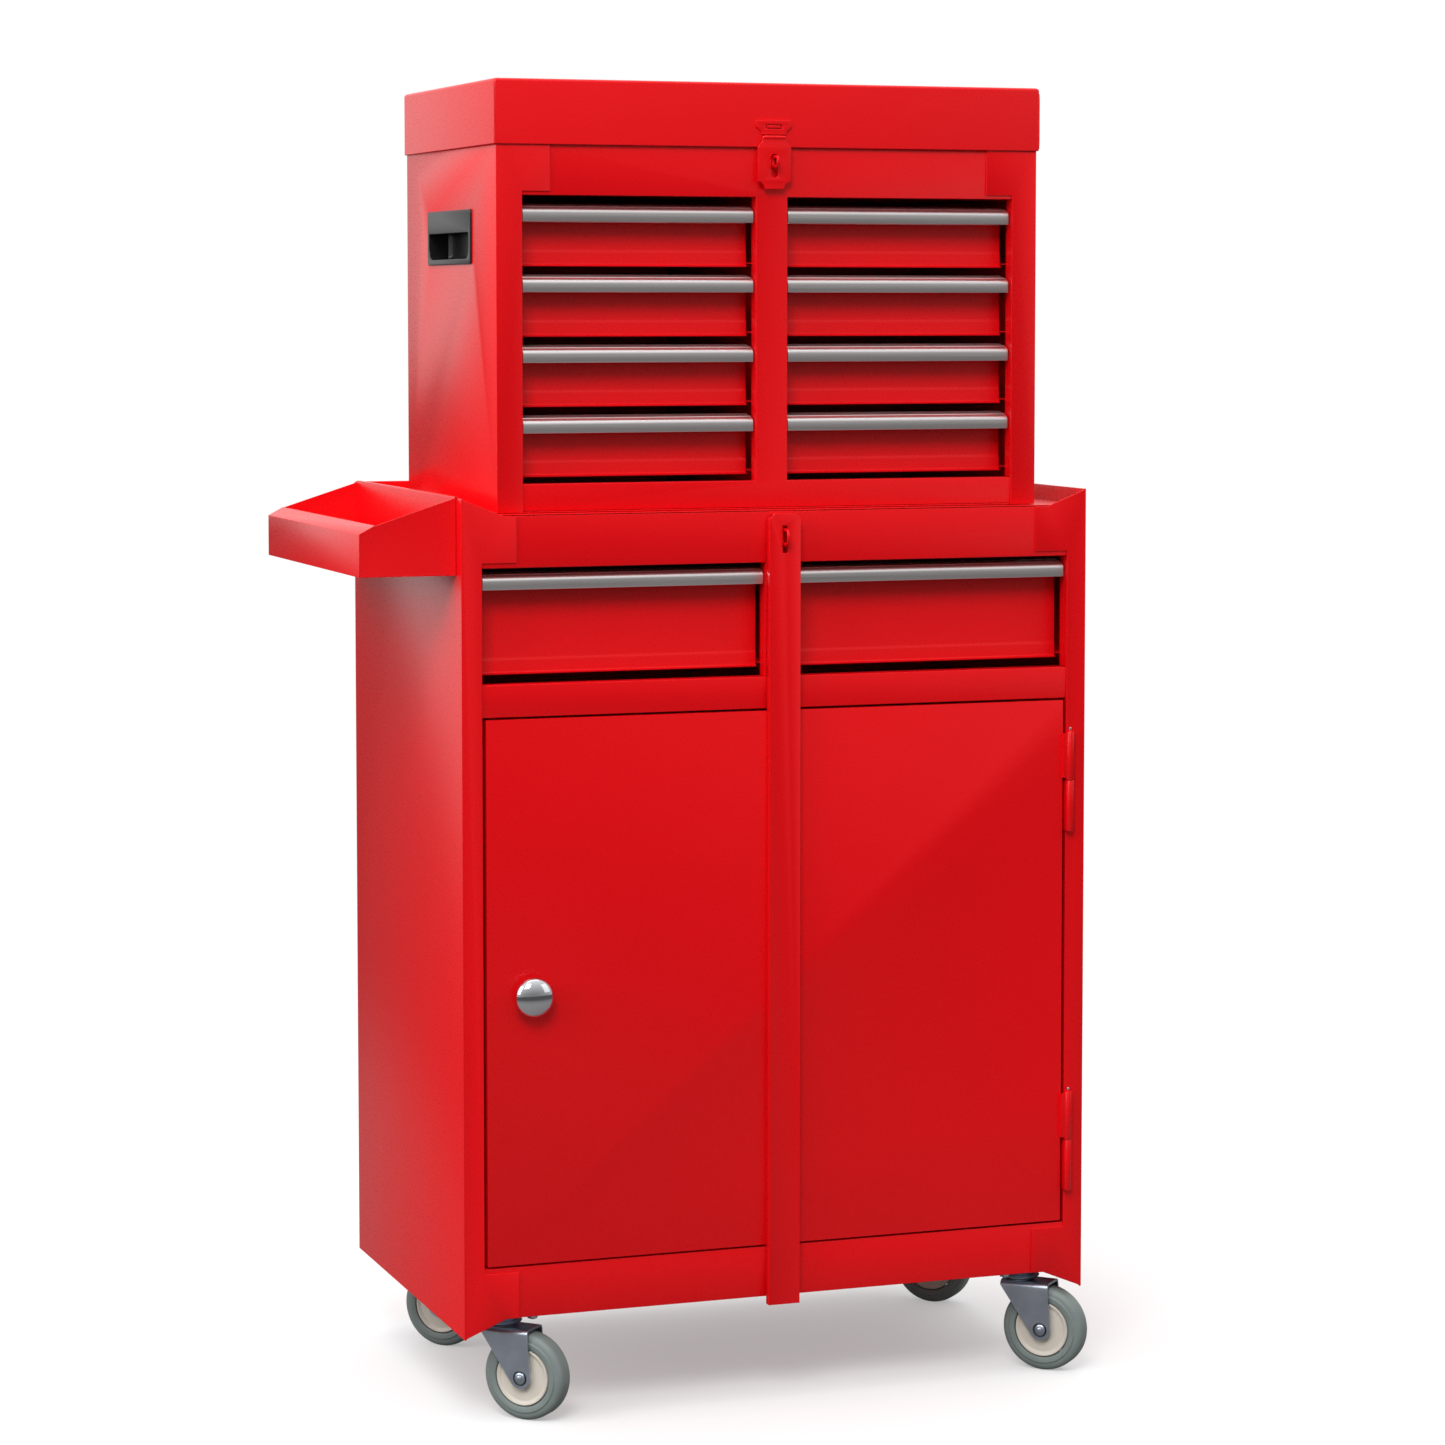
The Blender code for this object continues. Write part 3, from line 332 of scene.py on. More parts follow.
wall, lid_round, lid_corner = 0.001, 0.0026, 0.002
casing_low, casing_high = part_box("chest_shell")
lid_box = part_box("lid_shell")
lid_gap = lid_box[1].x - casing_high.x
lid_low = (casing_low.x - lid_gap, casing_low.y - lid_gap)
lid_high = (casing_high.x + lid_gap, casing_high.y + lid_gap)
top, hem = lid_box[1].z, lid_box[0].z
rings = ([(0.03, top, lid_corner)] + fillet(0, top, lid_round, lid_corner)
         + [(0, hem + 0.0004, lid_corner), (0.0003, hem, lid_corner), (wall, hem, wall)]
         + fillet(wall, top - wall, lid_round - wall, wall, outwards=False) + [(0.03, top - wall, wall)])
lid_pan = smooth(skin("lid_pan", nested(lid_low, lid_high, rings)))
fit_piece("lid_pan", lid_pan, red_coat, "powder_red", "lid", "lid_shell")


def ribbon(line, thick):
    """A flat line given a thickness: it is offset half of it to each side along its own normals."""
    line = np.array(line, float)
    run = np.gradient(line, axis=0)
    run /= np.linalg.norm(run, axis=1)[:, None]
    across = np.column_stack([-run[:, 1], run[:, 0]]) * thick / 2
    return np.vstack([line + across, (line - across)[::-1]])


def tube(path, radius, sides=10):
    """A circle carried along a path, kept square to it. The ends are drawn in to a small round."""
    path = np.array(path, float)
    run = np.gradient(path, axis=0)
    run /= np.linalg.norm(run, axis=1)[:, None]
    spare = np.array((0.0, 0.0, 1.0)) if abs(run[0][2]) < 0.9 else np.array((1.0, 0.0, 0.0))
    side = np.cross(run, spare)
    side /= np.linalg.norm(side, axis=1)[:, None]
    other = np.cross(run, side)
    turn = np.linspace(0, 2 * math.pi, sides, endpoint=False)[None, :, None]
    size = np.full(len(path), radius)
    size[[0, -1]] *= 0.5
    circle = side[:, None] * np.cos(turn) + other[:, None] * np.sin(turn)
    return path[:, None] + circle * size[:, None, None]


bead_r = 0.0006
beads = []
for corner_x in (lid_low[0] + 0.0005, lid_high[0] - 0.0005):
    heights = np.linspace(hem + 0.0015, top - 0.005, 12)
    path = np.column_stack([np.full(12, corner_x), np.full(12, lid_low[1] + 0.0003), heights])
    beads.append(skin("bead", tube(path, bead_r)))
fit_piece("lid_corner_beads", smooth(seal(*beads)), red_coat, "powder_red", "lid")


# ---------------------------------------------------------------- hasp and padlock loops
# The hasp is pressed from 1.5 mm steel: a mount on the lid's front with two ears and an embossed
# window, and a flap on a rolled knuckle. The loops are bent from flat bar and welded behind the rails.
def plate(name, outline, thick, place, holes=(), edge=0.0003):
    """A flat outline with holes, thickened, its edges rounded, and placed by three axes and an origin."""
    curve = bpy.data.curves.new(name, "CURVE")
    curve.dimensions, curve.fill_mode = "2D", "BOTH"
    curve.extrude, curve.bevel_depth, curve.bevel_resolution, curve.offset = thick / 2 - edge, edge, 2, -edge
    for line in (outline, *holes):
        spline = curve.splines.new("POLY")
        spline.points.add(len(line) - 1)
        flat = np.column_stack([line, np.zeros(len(line)), np.ones(len(line))])
        spline.points.foreach_set("co", flat.ravel())
        spline.use_cyclic_u = True
    shape = bpy.data.objects.new(name, curve)
    bpy.context.collection.objects.link(shape)
    mesh = bpy.data.meshes.new_from_object(shape.evaluated_get(bpy.context.evaluated_depsgraph_get()))
    bpy.data.objects.remove(shape)
    bpy.data.curves.remove(curve)
    mesh.name = name
    along, up, out, origin = (np.array(v, float) for v in place)
    points = np.zeros(len(mesh.vertices) * 3)
    mesh.vertices.foreach_get("co", points)
    points = points.reshape(-1, 3) @ np.array([along, up, out]) + origin
    mesh.vertices.foreach_set("co", points.ravel())
    return smooth(seal(mesh))


def mirrored(half):
    """A left half outline, from top to bottom at -x, with its mirror image behind it."""
    half = np.array(half, float)
    return np.vstack([half, half[::-1] * (-1, 1)])


right, up, forward = (1, 0, 0), (0, 0, 1), (0, -1, 0)
facing_front = (right, up, forward)
hasp_low, hasp_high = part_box("hasp_plate")
hasp_x, hasp_y = (hasp_low.x + hasp_high.x) / 2, (hasp_low.y + hasp_high.y) / 2
joints = {joint["name"]: joint for joint in frame["record"]["behaviour"]["joints"]}
hasp_axis = joints["hasp_flip"]["pos_m"][2]
hasp_thick = 0.0015
ears = rounded(mirrored([(-0.0158, 0.0142), (-0.0158, 0.0088), (-0.0112, 0.0048), (-0.0112, 0.0024)]),
               [0.0012, 0.0015, 0.0015, 0.0003, 0.0003, 0.0015, 0.0015, 0.0012])
window = rounded([(-0.0072, 0.0070), (0.0072, 0.0070), (0.0072, 0.0108), (-0.0072, 0.0108)], 0.0015)
mount_y = lid_low[1] - hasp_thick / 2 - 0.0001
mount = plate("hasp_mount", ears, hasp_thick, (*facing_front, (hasp_x, mount_y, hasp_axis)), [window])
bridge = rounded([(-0.0060, 0.0078), (0.0060, 0.0078), (0.0060, 0.0100), (-0.0060, 0.0100)], 0.001)
boss = plate("hasp_boss", bridge, 0.0010, (*facing_front, (hasp_x, mount_y - 0.0003, hasp_axis)))
fit_piece("hasp_mount", seal(mount, boss), red_coat, "powder_red", "lid")

# Each lower corner of the flap is bitten off by a concave quarter circle.
bite, flap_w, flap_foot = 0.0062, 0.0147, -0.0426
a = np.linspace(math.pi / 2, 0, 9)
bites = np.column_stack([-flap_w + bite * np.cos(a), flap_foot + bite * np.sin(a)])
neck = rounded([(0.0, 0.0), (-0.0108, 0.0), (-0.0108, -0.0034), (-flap_w, -0.0078), (-flap_w, -0.02)],
               [0, 0.0003, 0.0015, 0.0015, 0])[1:]
flap_outline = mirrored(np.vstack([neck, bites]))
slot_line = rounded([(-0.0032, -0.0332), (0.0032, -0.0332), (0.0032, -0.0136), (-0.0032, -0.0136)], 0.0031)
flap = plate("hasp_flap", flap_outline, hasp_thick, (*facing_front, (hasp_x, hasp_y, hasp_axis)), [slot_line])
knuckle_r, knuckle_half = 0.0016, 0.0104
roll_line = np.column_stack([np.linspace(-knuckle_half, knuckle_half, 16) + hasp_x, np.full(16, hasp_y),
                             np.full(16, hasp_axis)])
knuckle = smooth(skin("knuckle", tube(roll_line, knuckle_r, 16)))
fit_piece("hasp_flap", seal(flap, knuckle), red_coat, "powder_red", "hasp", "hasp_plate")


def loop(name, tip_y, root_y, low, high, x, body):
    """A flat loop on edge: a long D with an eye, standing out of a rail."""
    wire, thick = 0.0026, 0.0022
    outline = rounded([(root_y, low), (root_y, high), (tip_y, high), (tip_y, low)],
                      [0, 0, (high - low) / 2.2, (high - low) / 2.2], 9)
    eye = rounded([(root_y - 0.004, low + wire), (root_y - 0.004, high - wire), (tip_y + wire, high - wire),
                   (tip_y + wire, low + wire)], [0.001, 0.001, 0.0022, 0.0022], 7)
    mesh = plate(name, outline, thick, ((0, 1, 0), up, right, (x, 0, 0)), [eye], 0.0006)
    return fit_piece(name, mesh, red_coat, "powder_red", body)


apron_tip, frame_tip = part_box("base_apron")[0].y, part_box("chest_front_frame")[0].y
bar_low, bar_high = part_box("lock_bar")
bar_x = (bar_low.x + bar_high.x) / 2
loop("apron_loop", apron_tip, apron_front + 0.0005, 0.7230, 0.7375, bar_x, "cabinet")
loop("lid_loop", frame_tip, frame_front + 0.0005, 1.0358, 1.0463, hasp_x, "chest")


# ---------------------------------------------------------------- lock bar
# A channel folded from the same sheet, which hangs over the apron's loop and holds both the drawers
# and the door shut. Its top corners are cut off at an angle.
def clip_corners(bm):
    """Cuts both top corners at 45 degrees and closes the cuts."""
    chamfer = 0.0045
    for side in (-1, 1):
        edge_x = bar_low.x if side < 0 else bar_high.x
        geometry = bm.verts[:] + bm.edges[:] + bm.faces[:]
        bmesh.ops.bisect_plane(bm, geom=geometry, plane_co=(edge_x, 0, bar_high.z - chamfer),
                               plane_no=(side, 0, 1), clear_outer=True, dist=1e-6)
        bmesh.ops.holes_fill(bm, edges=[e for e in bm.edges if e.is_boundary])


steel("lock_bar", trim=clip_corners)


# ---------------------------------------------------------------- drawers
# Each drawer is a folded steel box spot-welded behind a front sheet. The front has a shallow crease
# above its foot, and the foot curls forward. An aluminium pull is screwed along the top.
def satin_aluminium():
    """Extruded aluminium, satin anodised: fine die lines run along it, drawn 0.5 mm apart to show."""
    made, tree = finish_nodes("satin_anodised_aluminium")
    where = put(tree, "ShaderNodeTexCoord")
    stretch = put(tree, "ShaderNodeMapping", [("Vector", where, "Object")], Scale=(6.0, 2000.0, 2000.0))
    lines = put(tree, "ShaderNodeTexNoise", [("Vector", stretch, 0)], Scale=1.0, Detail=2.0)
    rough = put(tree, "ShaderNodeMapRange", [("Value", lines, "Fac")], To_Min=0.30, To_Max=0.46)
    dent = put(tree, "ShaderNodeBump", [("Height", lines, "Fac")], Strength=0.18, Distance=0.0003)
    shade = put(tree, "ShaderNodeMix", [(0, lines, "Fac")], data_type="RGBA")
    shade.inputs[6].default_value, shade.inputs[7].default_value = linear("#E0DADA"), linear("#EFEAEA")
    shader = put(tree, "ShaderNodeBsdfPrincipled",
                 [("Base Color", shade, 2), ("Roughness", rough, 0), ("Normal", dent, 0)], Metallic=1.0)
    close_finish(tree, shader)
    return made


aluminium = satin_aluminium()


def along_x(profile, x0, x1):
    """A profile in (y, z) carried along X."""
    return [np.column_stack([np.full(len(profile), x), profile]) for x in (x0, x1)]


def pull_profile(back, tip, high, drop):
    """A sloping top, a round nose, a straight front and a small inward hem, all one wall thick."""
    thick, nose, fall, hem_in = 0.0018, 0.004, 0.0035, 0.0045
    corner = high - fall - nose
    turn = np.radians(np.linspace(76, 0, 12))

    def arc(radius):
        return np.column_stack([tip + nose - radius * np.cos(turn), corner + radius * np.sin(turn)])
    rib = [(tip + nose + 0.0022, high - fall + 0.0014), (tip + nose + 0.0019, high - fall + 0.0010)]
    foot = [(tip, drop + 0.0012), (tip + 0.0004, drop + 0.0003), (tip + 0.0012, drop), (tip + hem_in, drop),
            (tip + hem_in, drop + thick), (tip + thick, drop + thick)]
    rear = [(back - thick, high - thick), (back - thick, drop), (back, drop)]
    return np.vstack([[(back, high)], rib, arc(nose), foot, arc(nose - thick)[::-1], rear])


def front_profile(face, low, high):
    """The front sheet from its top edge down: flat, a crease, then a foot that curls forward."""
    curl, step, crease = 0.0022, 0.0009, 0.011
    turn = np.radians(np.linspace(0, 90, 8))
    line = [(face, high), (face, low + crease + 0.003), (face - step * 0.2, low + crease + 0.002),
            (face - step * 0.8, low + crease + 0.0008), (face - step, low + crease)]
    foot = np.column_stack([face - step - curl + curl * np.cos(turn), low + curl - curl * np.sin(turn)])
    return np.vstack([line, foot + (0, 0.0005)])


face_in, tub_in, floor_up, rim_down = 0.003, 0.005, 0.004, 0.005


def drawer(name):
    """A steel tub with its front sheet, as one piece, and the aluminium pull, each inside its node's box."""
    box_low, box_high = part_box(name + "_box")
    pull_low, pull_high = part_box(name + "_pull")
    face = box_low.y + face_in
    half = wall / 2
    sheet = ribbon(front_profile(face + half, box_low.z, box_high.z), wall)
    front = smooth(skin(name + "_front", along_x(sheet, box_low.x, box_high.x)), 40)
    tub_low, tub_high = (box_low.x + tub_in, face + wall + 0.0001), (box_high.x - tub_in, box_high.y)
    floor_z, rim_z = box_low.z + floor_up, box_high.z - rim_down
    tub_rings = ([(0.02, floor_z, 0.002), (0.0015, floor_z, 0.002), (0.0004, floor_z + 0.0004, 0.002),
                  (0, floor_z + 0.0015, 0.002), (0, rim_z - 0.0003, 0.002), (0.0003, rim_z, 0.0018),
                  (wall - 0.0003, rim_z, 0.0012), (wall, rim_z - 0.0003, 0.001),
                  (wall, floor_z + 0.002, 0.001), (wall + 0.0008, floor_z + wall, 0.001),
                  (0.02, floor_z + wall, 0.001)])
    tub = smooth(skin(name + "_tub", nested(tub_low, tub_high, tub_rings)))
    fit_piece(name + "_tub", seal(tub, front), red_coat, "powder_red", home[name + "_box"], name + "_box")
    profile = pull_profile(pull_high.y, pull_low.y, pull_high.z, pull_low.z)
    mesh = smooth(skin(name + "_grip_rail", along_x(profile, pull_low.x, pull_high.x)), 25)
    piece = fit_piece(name + "_grip_rail", mesh, aluminium, "pull_aluminium", home[name + "_pull"],
                      name + "_pull")
    ends = piece.modifiers.new("deburred", "BEVEL")
    ends.width, ends.segments, ends.limit_method, ends.angle_limit = 0.0002, 2, "ANGLE", math.radians(60)


for side in ("left", "right"):
    drawer(f"base_{side}_drawer")
    for row in range(1, 5):
        drawer(f"chest_{side}_drawer_{row}")


# ---------------------------------------------------------------- door knob and hinge tips
# The knob is turned steel, chromium-plated over nickel, screwed on from behind the door. The hinges'
# pins stand a little out of their barrels and are left bright.
def turned(name, profile, place, steps=48, ring=False, angle=32):
    """A profile of (radius, height) turned about the third axis of the place: r cos a, r sin a, h."""
    across, other, out, origin = (np.array(v, float) for v in place)
    radius, height = np.array(profile, float).T[:, :, None, None]
    a = np.linspace(0, 2 * math.pi, steps, endpoint=False)[None, :, None]
    rows = radius * (np.cos(a) * across + np.sin(a) * other) + height * out + origin
    return smooth(skin(name, rows, ring=ring), angle)


def plated(name, low_rough, high_rough, dark, light, grain):
    """A plated metal: its tone drifts over centimetres, and its gloss over the grain of the base metal."""
    made, tree = finish_nodes(name)
    where = put(tree, "ShaderNodeTexCoord")
    cloud = put(tree, "ShaderNodeTexNoise", [("Vector", where, "Object")], Scale=60.0, Detail=2.0)
    fine = put(tree, "ShaderNodeTexNoise", [("Vector", where, "Object")], Scale=grain, Detail=2.0)
    rough = put(tree, "ShaderNodeMapRange", [("Value", fine, "Fac")], To_Min=low_rough, To_Max=high_rough)
    tint = put(tree, "ShaderNodeMix", [(0, cloud, "Fac")], data_type="RGBA")
    tint.inputs[6].default_value, tint.inputs[7].default_value = linear(dark), linear(light)
    shader = put(tree, "ShaderNodeBsdfPrincipled", [("Base Color", tint, 2), ("Roughness", rough, 0)],
                 Metallic=1.0)
    close_finish(tree, shader)
    return made


# Bright chromium shows its surroundings almost unblurred. Zinc is passivated, bluish and a little cloudy.
chrome = plated("bright_chromium_plate", 0.04, 0.09, "#D6D8DC", "#E2E3E6", 900.0)
zinc = plated("blue_passivated_zinc", 0.24, 0.40, "#A3AFBF", "#CDD6E1", 1400.0)

knob_low, knob_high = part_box("door_knob")
knob_at = ((knob_low.x + knob_high.x) / 2, knob_high.y, (knob_low.z + knob_high.z) / 2)
knob_r, knob_reach = (knob_high.x - knob_low.x) / 2, knob_high.y - knob_low.y
dome = [(knob_r * math.sin(a), knob_reach * (0.52 + 0.48 * math.cos(a)))
        for a in np.linspace(0.04, math.pi / 2, 18)]
brim = [(knob_r * (0.94 + 0.06 * math.cos(a)), knob_reach * (0.52 - 0.12 * math.sin(a)))
        for a in np.linspace(0.2, math.pi / 2, 6)]
stem = [(knob_r * 0.62, knob_reach * 0.34), (knob_r * 0.47, knob_reach * 0.26),
        (knob_r * 0.44, knob_reach * 0.18), (knob_r * 0.56, knob_reach * 0.13),
        (knob_r * 0.78, knob_reach * 0.10), (knob_r * 0.80, knob_reach * 0.05), (knob_r * 0.80, 0.0)]
knob = turned("knob", dome + brim + stem, (*facing_front, knob_at), 56, angle=50)
fit_piece("chrome_knob", knob, chrome, "chrome", home["door_knob"], "door_knob")

standing = (right, (0, 1, 0), up)
pin_tip = [(0.0002, 0.0016), (0.0008, 0.0014), (0.00125, 0.0008), (0.00125, -0.0006)]
for where_hinge in ("upper", "lower"):
    leaf_low, leaf_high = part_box(f"hinge_{where_hinge}_leaf")
    hinge_x, hinge_y = joints["door_hinge"]["pos_m"][:2]
    tip = turned("pin_tip", pin_tip, (*standing, (hinge_x, hinge_y, leaf_high.z)), 20)
    fit_piece(f"hinge_{where_hinge}_pin_tip", tip, zinc, "zinc_plate", home[f"hinge_{where_hinge}_leaf"])


# ---------------------------------------------------------------- side tray fittings
# The tray hangs on the side panel's rim and is held by two socket cap screws, of which the rear one
# was sprayed over with the tray. Their sockets are hexagons.
def cap_screw(name, place, radius, height, hex_size):
    """A turned head with a rounded rim, and a hexagonal socket sunk in it."""
    head = [(radius, 0.0), (radius, height - 0.0008), (radius - 0.0003, height - 0.0002),
            (radius - 0.001, height), (hex_size + 0.0006, height), (hex_size, height - 0.0004)]
    socket = [(hex_size * 0.98, height * 0.45), (0.0003, height * 0.35)]
    return turned(name, head + socket, place, 36)


screw_low, screw_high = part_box("tray_bolt")
screw_r, screw_h = (screw_high.z - screw_low.z) / 2, screw_high.x - screw_low.x
screw_y, screw_z = (screw_low.y + screw_high.y) / 2, (screw_low.z + screw_high.z) / 2
facing_left = ((0, 1, 0), up, (-1, 0, 0))
front_hex, rear_hex, rear_h, screw_gap = 0.0023, 0.002, 0.003, 0.150
front_at = (screw_high.x, screw_y, screw_z)
front_screw = cap_screw("screw", (*facing_left, front_at), screw_r, screw_h, front_hex)
fit_piece("tray_cap_screw", front_screw, chrome, "chrome", "cabinet", "tray_bolt")
rear_at = (screw_high.x, screw_y + screw_gap, screw_z)
rear_screw = cap_screw("screw", (*facing_left, rear_at), screw_r, rear_h, rear_hex)
fit_piece("tray_rear_screw", rear_screw, red_coat, "powder_red", "cabinet")


# ---------------------------------------------------------------- hand grips
# Each grip is one black ABS moulding pushed into the chest's side: a thin rim, a flap over its upper
# part to pull on, and a recess for the fingers. The mould left a fine spark-eroded grain on it.
def moulding(name, dark, light, low_rough, high_rough, grain, dent, ior=1.53):
    """A moulded part: an even colour, a matt grain in the gloss and a slight unevenness in the surface."""
    made, tree = finish_nodes(name)
    where = put(tree, "ShaderNodeTexCoord")
    fine = put(tree, "ShaderNodeTexNoise", [("Vector", where, "Object")], Scale=grain, Detail=3.0)
    broad = put(tree, "ShaderNodeTexNoise", [("Vector", where, "Object")], Scale=45.0, Detail=2.0)
    tint = put(tree, "ShaderNodeMix", [(0, broad, "Fac")], data_type="RGBA")
    tint.inputs[6].default_value, tint.inputs[7].default_value = linear(dark), linear(light)
    rough = put(tree, "ShaderNodeMapRange", [("Value", fine, "Fac")], To_Min=low_rough, To_Max=high_rough)
    bump = put(tree, "ShaderNodeBump", [("Height", fine, "Fac")], Strength=dent, Distance=0.0003)
    close_finish(tree, put(tree, "ShaderNodeBsdfPrincipled",
                           [("Base Color", tint, 2), ("Roughness", rough, 0), ("Normal", bump, 0)], IOR=ior))
    return made


black_abs = moulding("moulded_black_abs", "#0A0B0C", "#131415", 0.28, 0.42, 1500.0, 0.15)
rim_width, rim_thick, grip_wall, lip_thick = 0.0034, 0.0014, 0.0012, 0.0022
for side in ("left", "right"):
    grip_low, grip_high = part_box(f"chest_{side}_grip")
    outwards = -1 if side == "left" else 1
    face_x = grip_low.x if side == "left" else grip_high.x
    depth = grip_high.x - grip_low.x
    inner_rings = [(0.012, depth - grip_wall, 0.003),
                   (rim_width + grip_wall + 0.002, depth - grip_wall, 0.003),
                   (rim_width + grip_wall, depth - grip_wall - 0.003, 0.003),
                   (rim_width + grip_wall, 0.0012, 0.003)]
    outer_rings = [(rim_width, 0.0012, 0.003), (rim_width, depth - 0.002, 0.003),
                   (rim_width + 0.002, depth, 0.003), (0.012, depth, 0.003)]
    rows = np.array(nested((grip_low.y, grip_low.z), (grip_high.y, grip_high.z), inner_rings + outer_rings))
    rows = np.stack([face_x - outwards * rows[..., 2], rows[..., 0], rows[..., 1]], axis=-1)
    recess = smooth(skin("recess", rows))
    y0, y1, z0, z1 = grip_low.y, grip_high.y, grip_low.z, grip_high.z
    flap_z = z1 - (z1 - z0) * 0.42
    hole_in = rim_width + 0.0012
    rim_line = rounded([(y0, z0), (y1, z0), (y1, z1), (y0, z1)], 0.003)
    arch = rounded([(y0 + hole_in, z0 + hole_in), (y1 - hole_in, z0 + hole_in), (y1 - hole_in, flap_z),
                    (y0 + hole_in, flap_z)], [0.0095, 0.0095, 0.002, 0.002], 12)
    facing_out = ((0, 1, 0), up, (outwards, 0, 0))
    cover = plate("cover", rim_line, rim_thick, (*facing_out, (face_x - outwards * rim_thick / 2, 0, 0)),
                  [arch], 0.0005)
    lip_line = rounded([(y0 + hole_in, flap_z), (y1 - hole_in, flap_z), (y1 - hole_in, flap_z + 0.004),
                        (y0 + hole_in, flap_z + 0.004)], 0.0008)
    lip = plate("lip", lip_line, lip_thick, (*facing_out, (face_x - outwards * lip_thick, 0, 0)), edge=0.0006)
    fit_piece(f"{side}_hand_grip", seal(recess, cover, lip), black_abs, "black_moulding", "chest",
              f"chest_{side}_grip")


# ---------------------------------------------------------------- lid hinge
# A piano hinge along the back: rolled knuckles 20 mm long, taken in turn from the chest's leaf and the
# lid's, on one steel pin. The leaves are spot-welded to the casing and to the lid.
hinge_low, hinge_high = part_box("lid_hinge_pin")
lid_joint = joints["lid_hinge"]["pos_m"]
knuckle_len, knuckle_gap, leaf_thick, leaf_in = 0.020, 0.0004, 0.0009, 0.010
span = hinge_high.x - hinge_low.x - 2 * leaf_in
count = int(span // knuckle_len)
starts = hinge_low.x + leaf_in + np.arange(count) * knuckle_len
for body, picked, leaf_z in (("chest", starts[0::2], (hinge_low.z, lid_joint[2])),
                             ("lid", starts[1::2], (lid_joint[2], lid_joint[2] + 0.018))):
    rolls = []
    for start in picked:
        profile = [(0.0011, 0), (0.0017, 0), (0.002, 0.0003), (0.002, knuckle_len - knuckle_gap - 0.0003),
                   (0.0017, knuckle_len - knuckle_gap), (0.0011, knuckle_len - knuckle_gap)]
        along_pin = ((0, 1, 0), up, right, (start, lid_joint[1], lid_joint[2]))
        rolls.append(turned("roll", profile, along_pin, 16))
    wall_y = casing_high.y + 0.0003 if body == "chest" else lid_high[1] + 0.0001
    line = rounded([(starts[0], leaf_z[0]), (starts[-1] + knuckle_len, leaf_z[0]),
                    (starts[-1] + knuckle_len, leaf_z[1]), (starts[0], leaf_z[1])], 0.001)
    leaf = plate("leaf", line, leaf_thick, (*facing_front, (0, wall_y + leaf_thick / 2, 0)))
    mesh = seal(leaf, *rolls)
    if body == "chest":
        fit_piece("lid_hinge_chest_leaf", mesh, red_coat, "powder_red", body, "lid_hinge_pin")
    else:
        fit_piece("lid_hinge_lid_leaf", mesh, red_coat, "powder_red", body)
hinge_pin = tube(np.column_stack([np.linspace(starts[0] - 0.001, starts[-1] + knuckle_len + 0.001, 12),
                                  np.full(12, lid_joint[1]), np.full(12, lid_joint[2])]), 0.001, 14)
fit_piece("lid_hinge_wire", smooth(skin("wire", hinge_pin)), zinc, "zinc_plate", "chest")


# ---------------------------------------------------------------- casters
# Swivel casters: a pressed, blue-passivated zinc fork under a double ball race, and a grey rubber
# tyre moulded on a cream polypropylene wheel, which turns on a plain bolt.
tyre_rubber = moulding("grey_moulded_rubber", "#6F7B79", "#87918E", 0.42, 0.62, 900.0, 0.25, 1.52)
hub_plastic = moulding("moulded_cream_polypropylene", "#CFC6B9", "#DDD6CA", 0.36, 0.5, 700.0, 0.12, 1.49)
dark_steel = plated("dark_ring_metal", 0.3, 0.5, "#2A2D30", "#4A4F54", 1200.0)


def strip(name, path, low_edge, high_edge, thick, place, across=7):
    """A bent sheet: a path in (y, z), its breadth along x between two edges, thickened to both sides."""
    path = np.array(path, float)
    run = np.gradient(path, axis=0)
    run /= np.linalg.norm(run, axis=1)[:, None]
    normal = np.column_stack([-run[:, 1], run[:, 0]])
    t = np.linspace(0, 1, across)[None, :]
    x = low_edge[:, None] * (1 - t) + high_edge[:, None] * t
    sides = []
    for sign in (1, -1):
        shifted = path + sign * normal * thick / 2
        sides.append(np.stack([x, np.broadcast_to(shifted[:, :1], x.shape),
                               np.broadcast_to(shifted[:, 1:], x.shape)], axis=-1))
    rows = np.concatenate([sides[0], sides[1][:, ::-1]], axis=1)
    return smooth(skin(name, rows @ np.array(place[:3]) + np.array(place[3])), 38)


def edge_of(heights, apex, centre, radius, side):
    """The side of the tangent hull of a point above and a circle below, at each height."""
    a = np.linspace(0, 2 * math.pi, 97)[None, :]
    cx, cz = centre[0] + radius * np.cos(a), centre[1] + radius * np.sin(a)
    share = (apex[1] - heights[:, None]) / (apex[1] - cz)
    x = np.where(share <= 1.0001, apex[0] + (cx - apex[0]) * share, -side * 1e3)
    return x.min(axis=1) if side < 0 else x.max(axis=1)


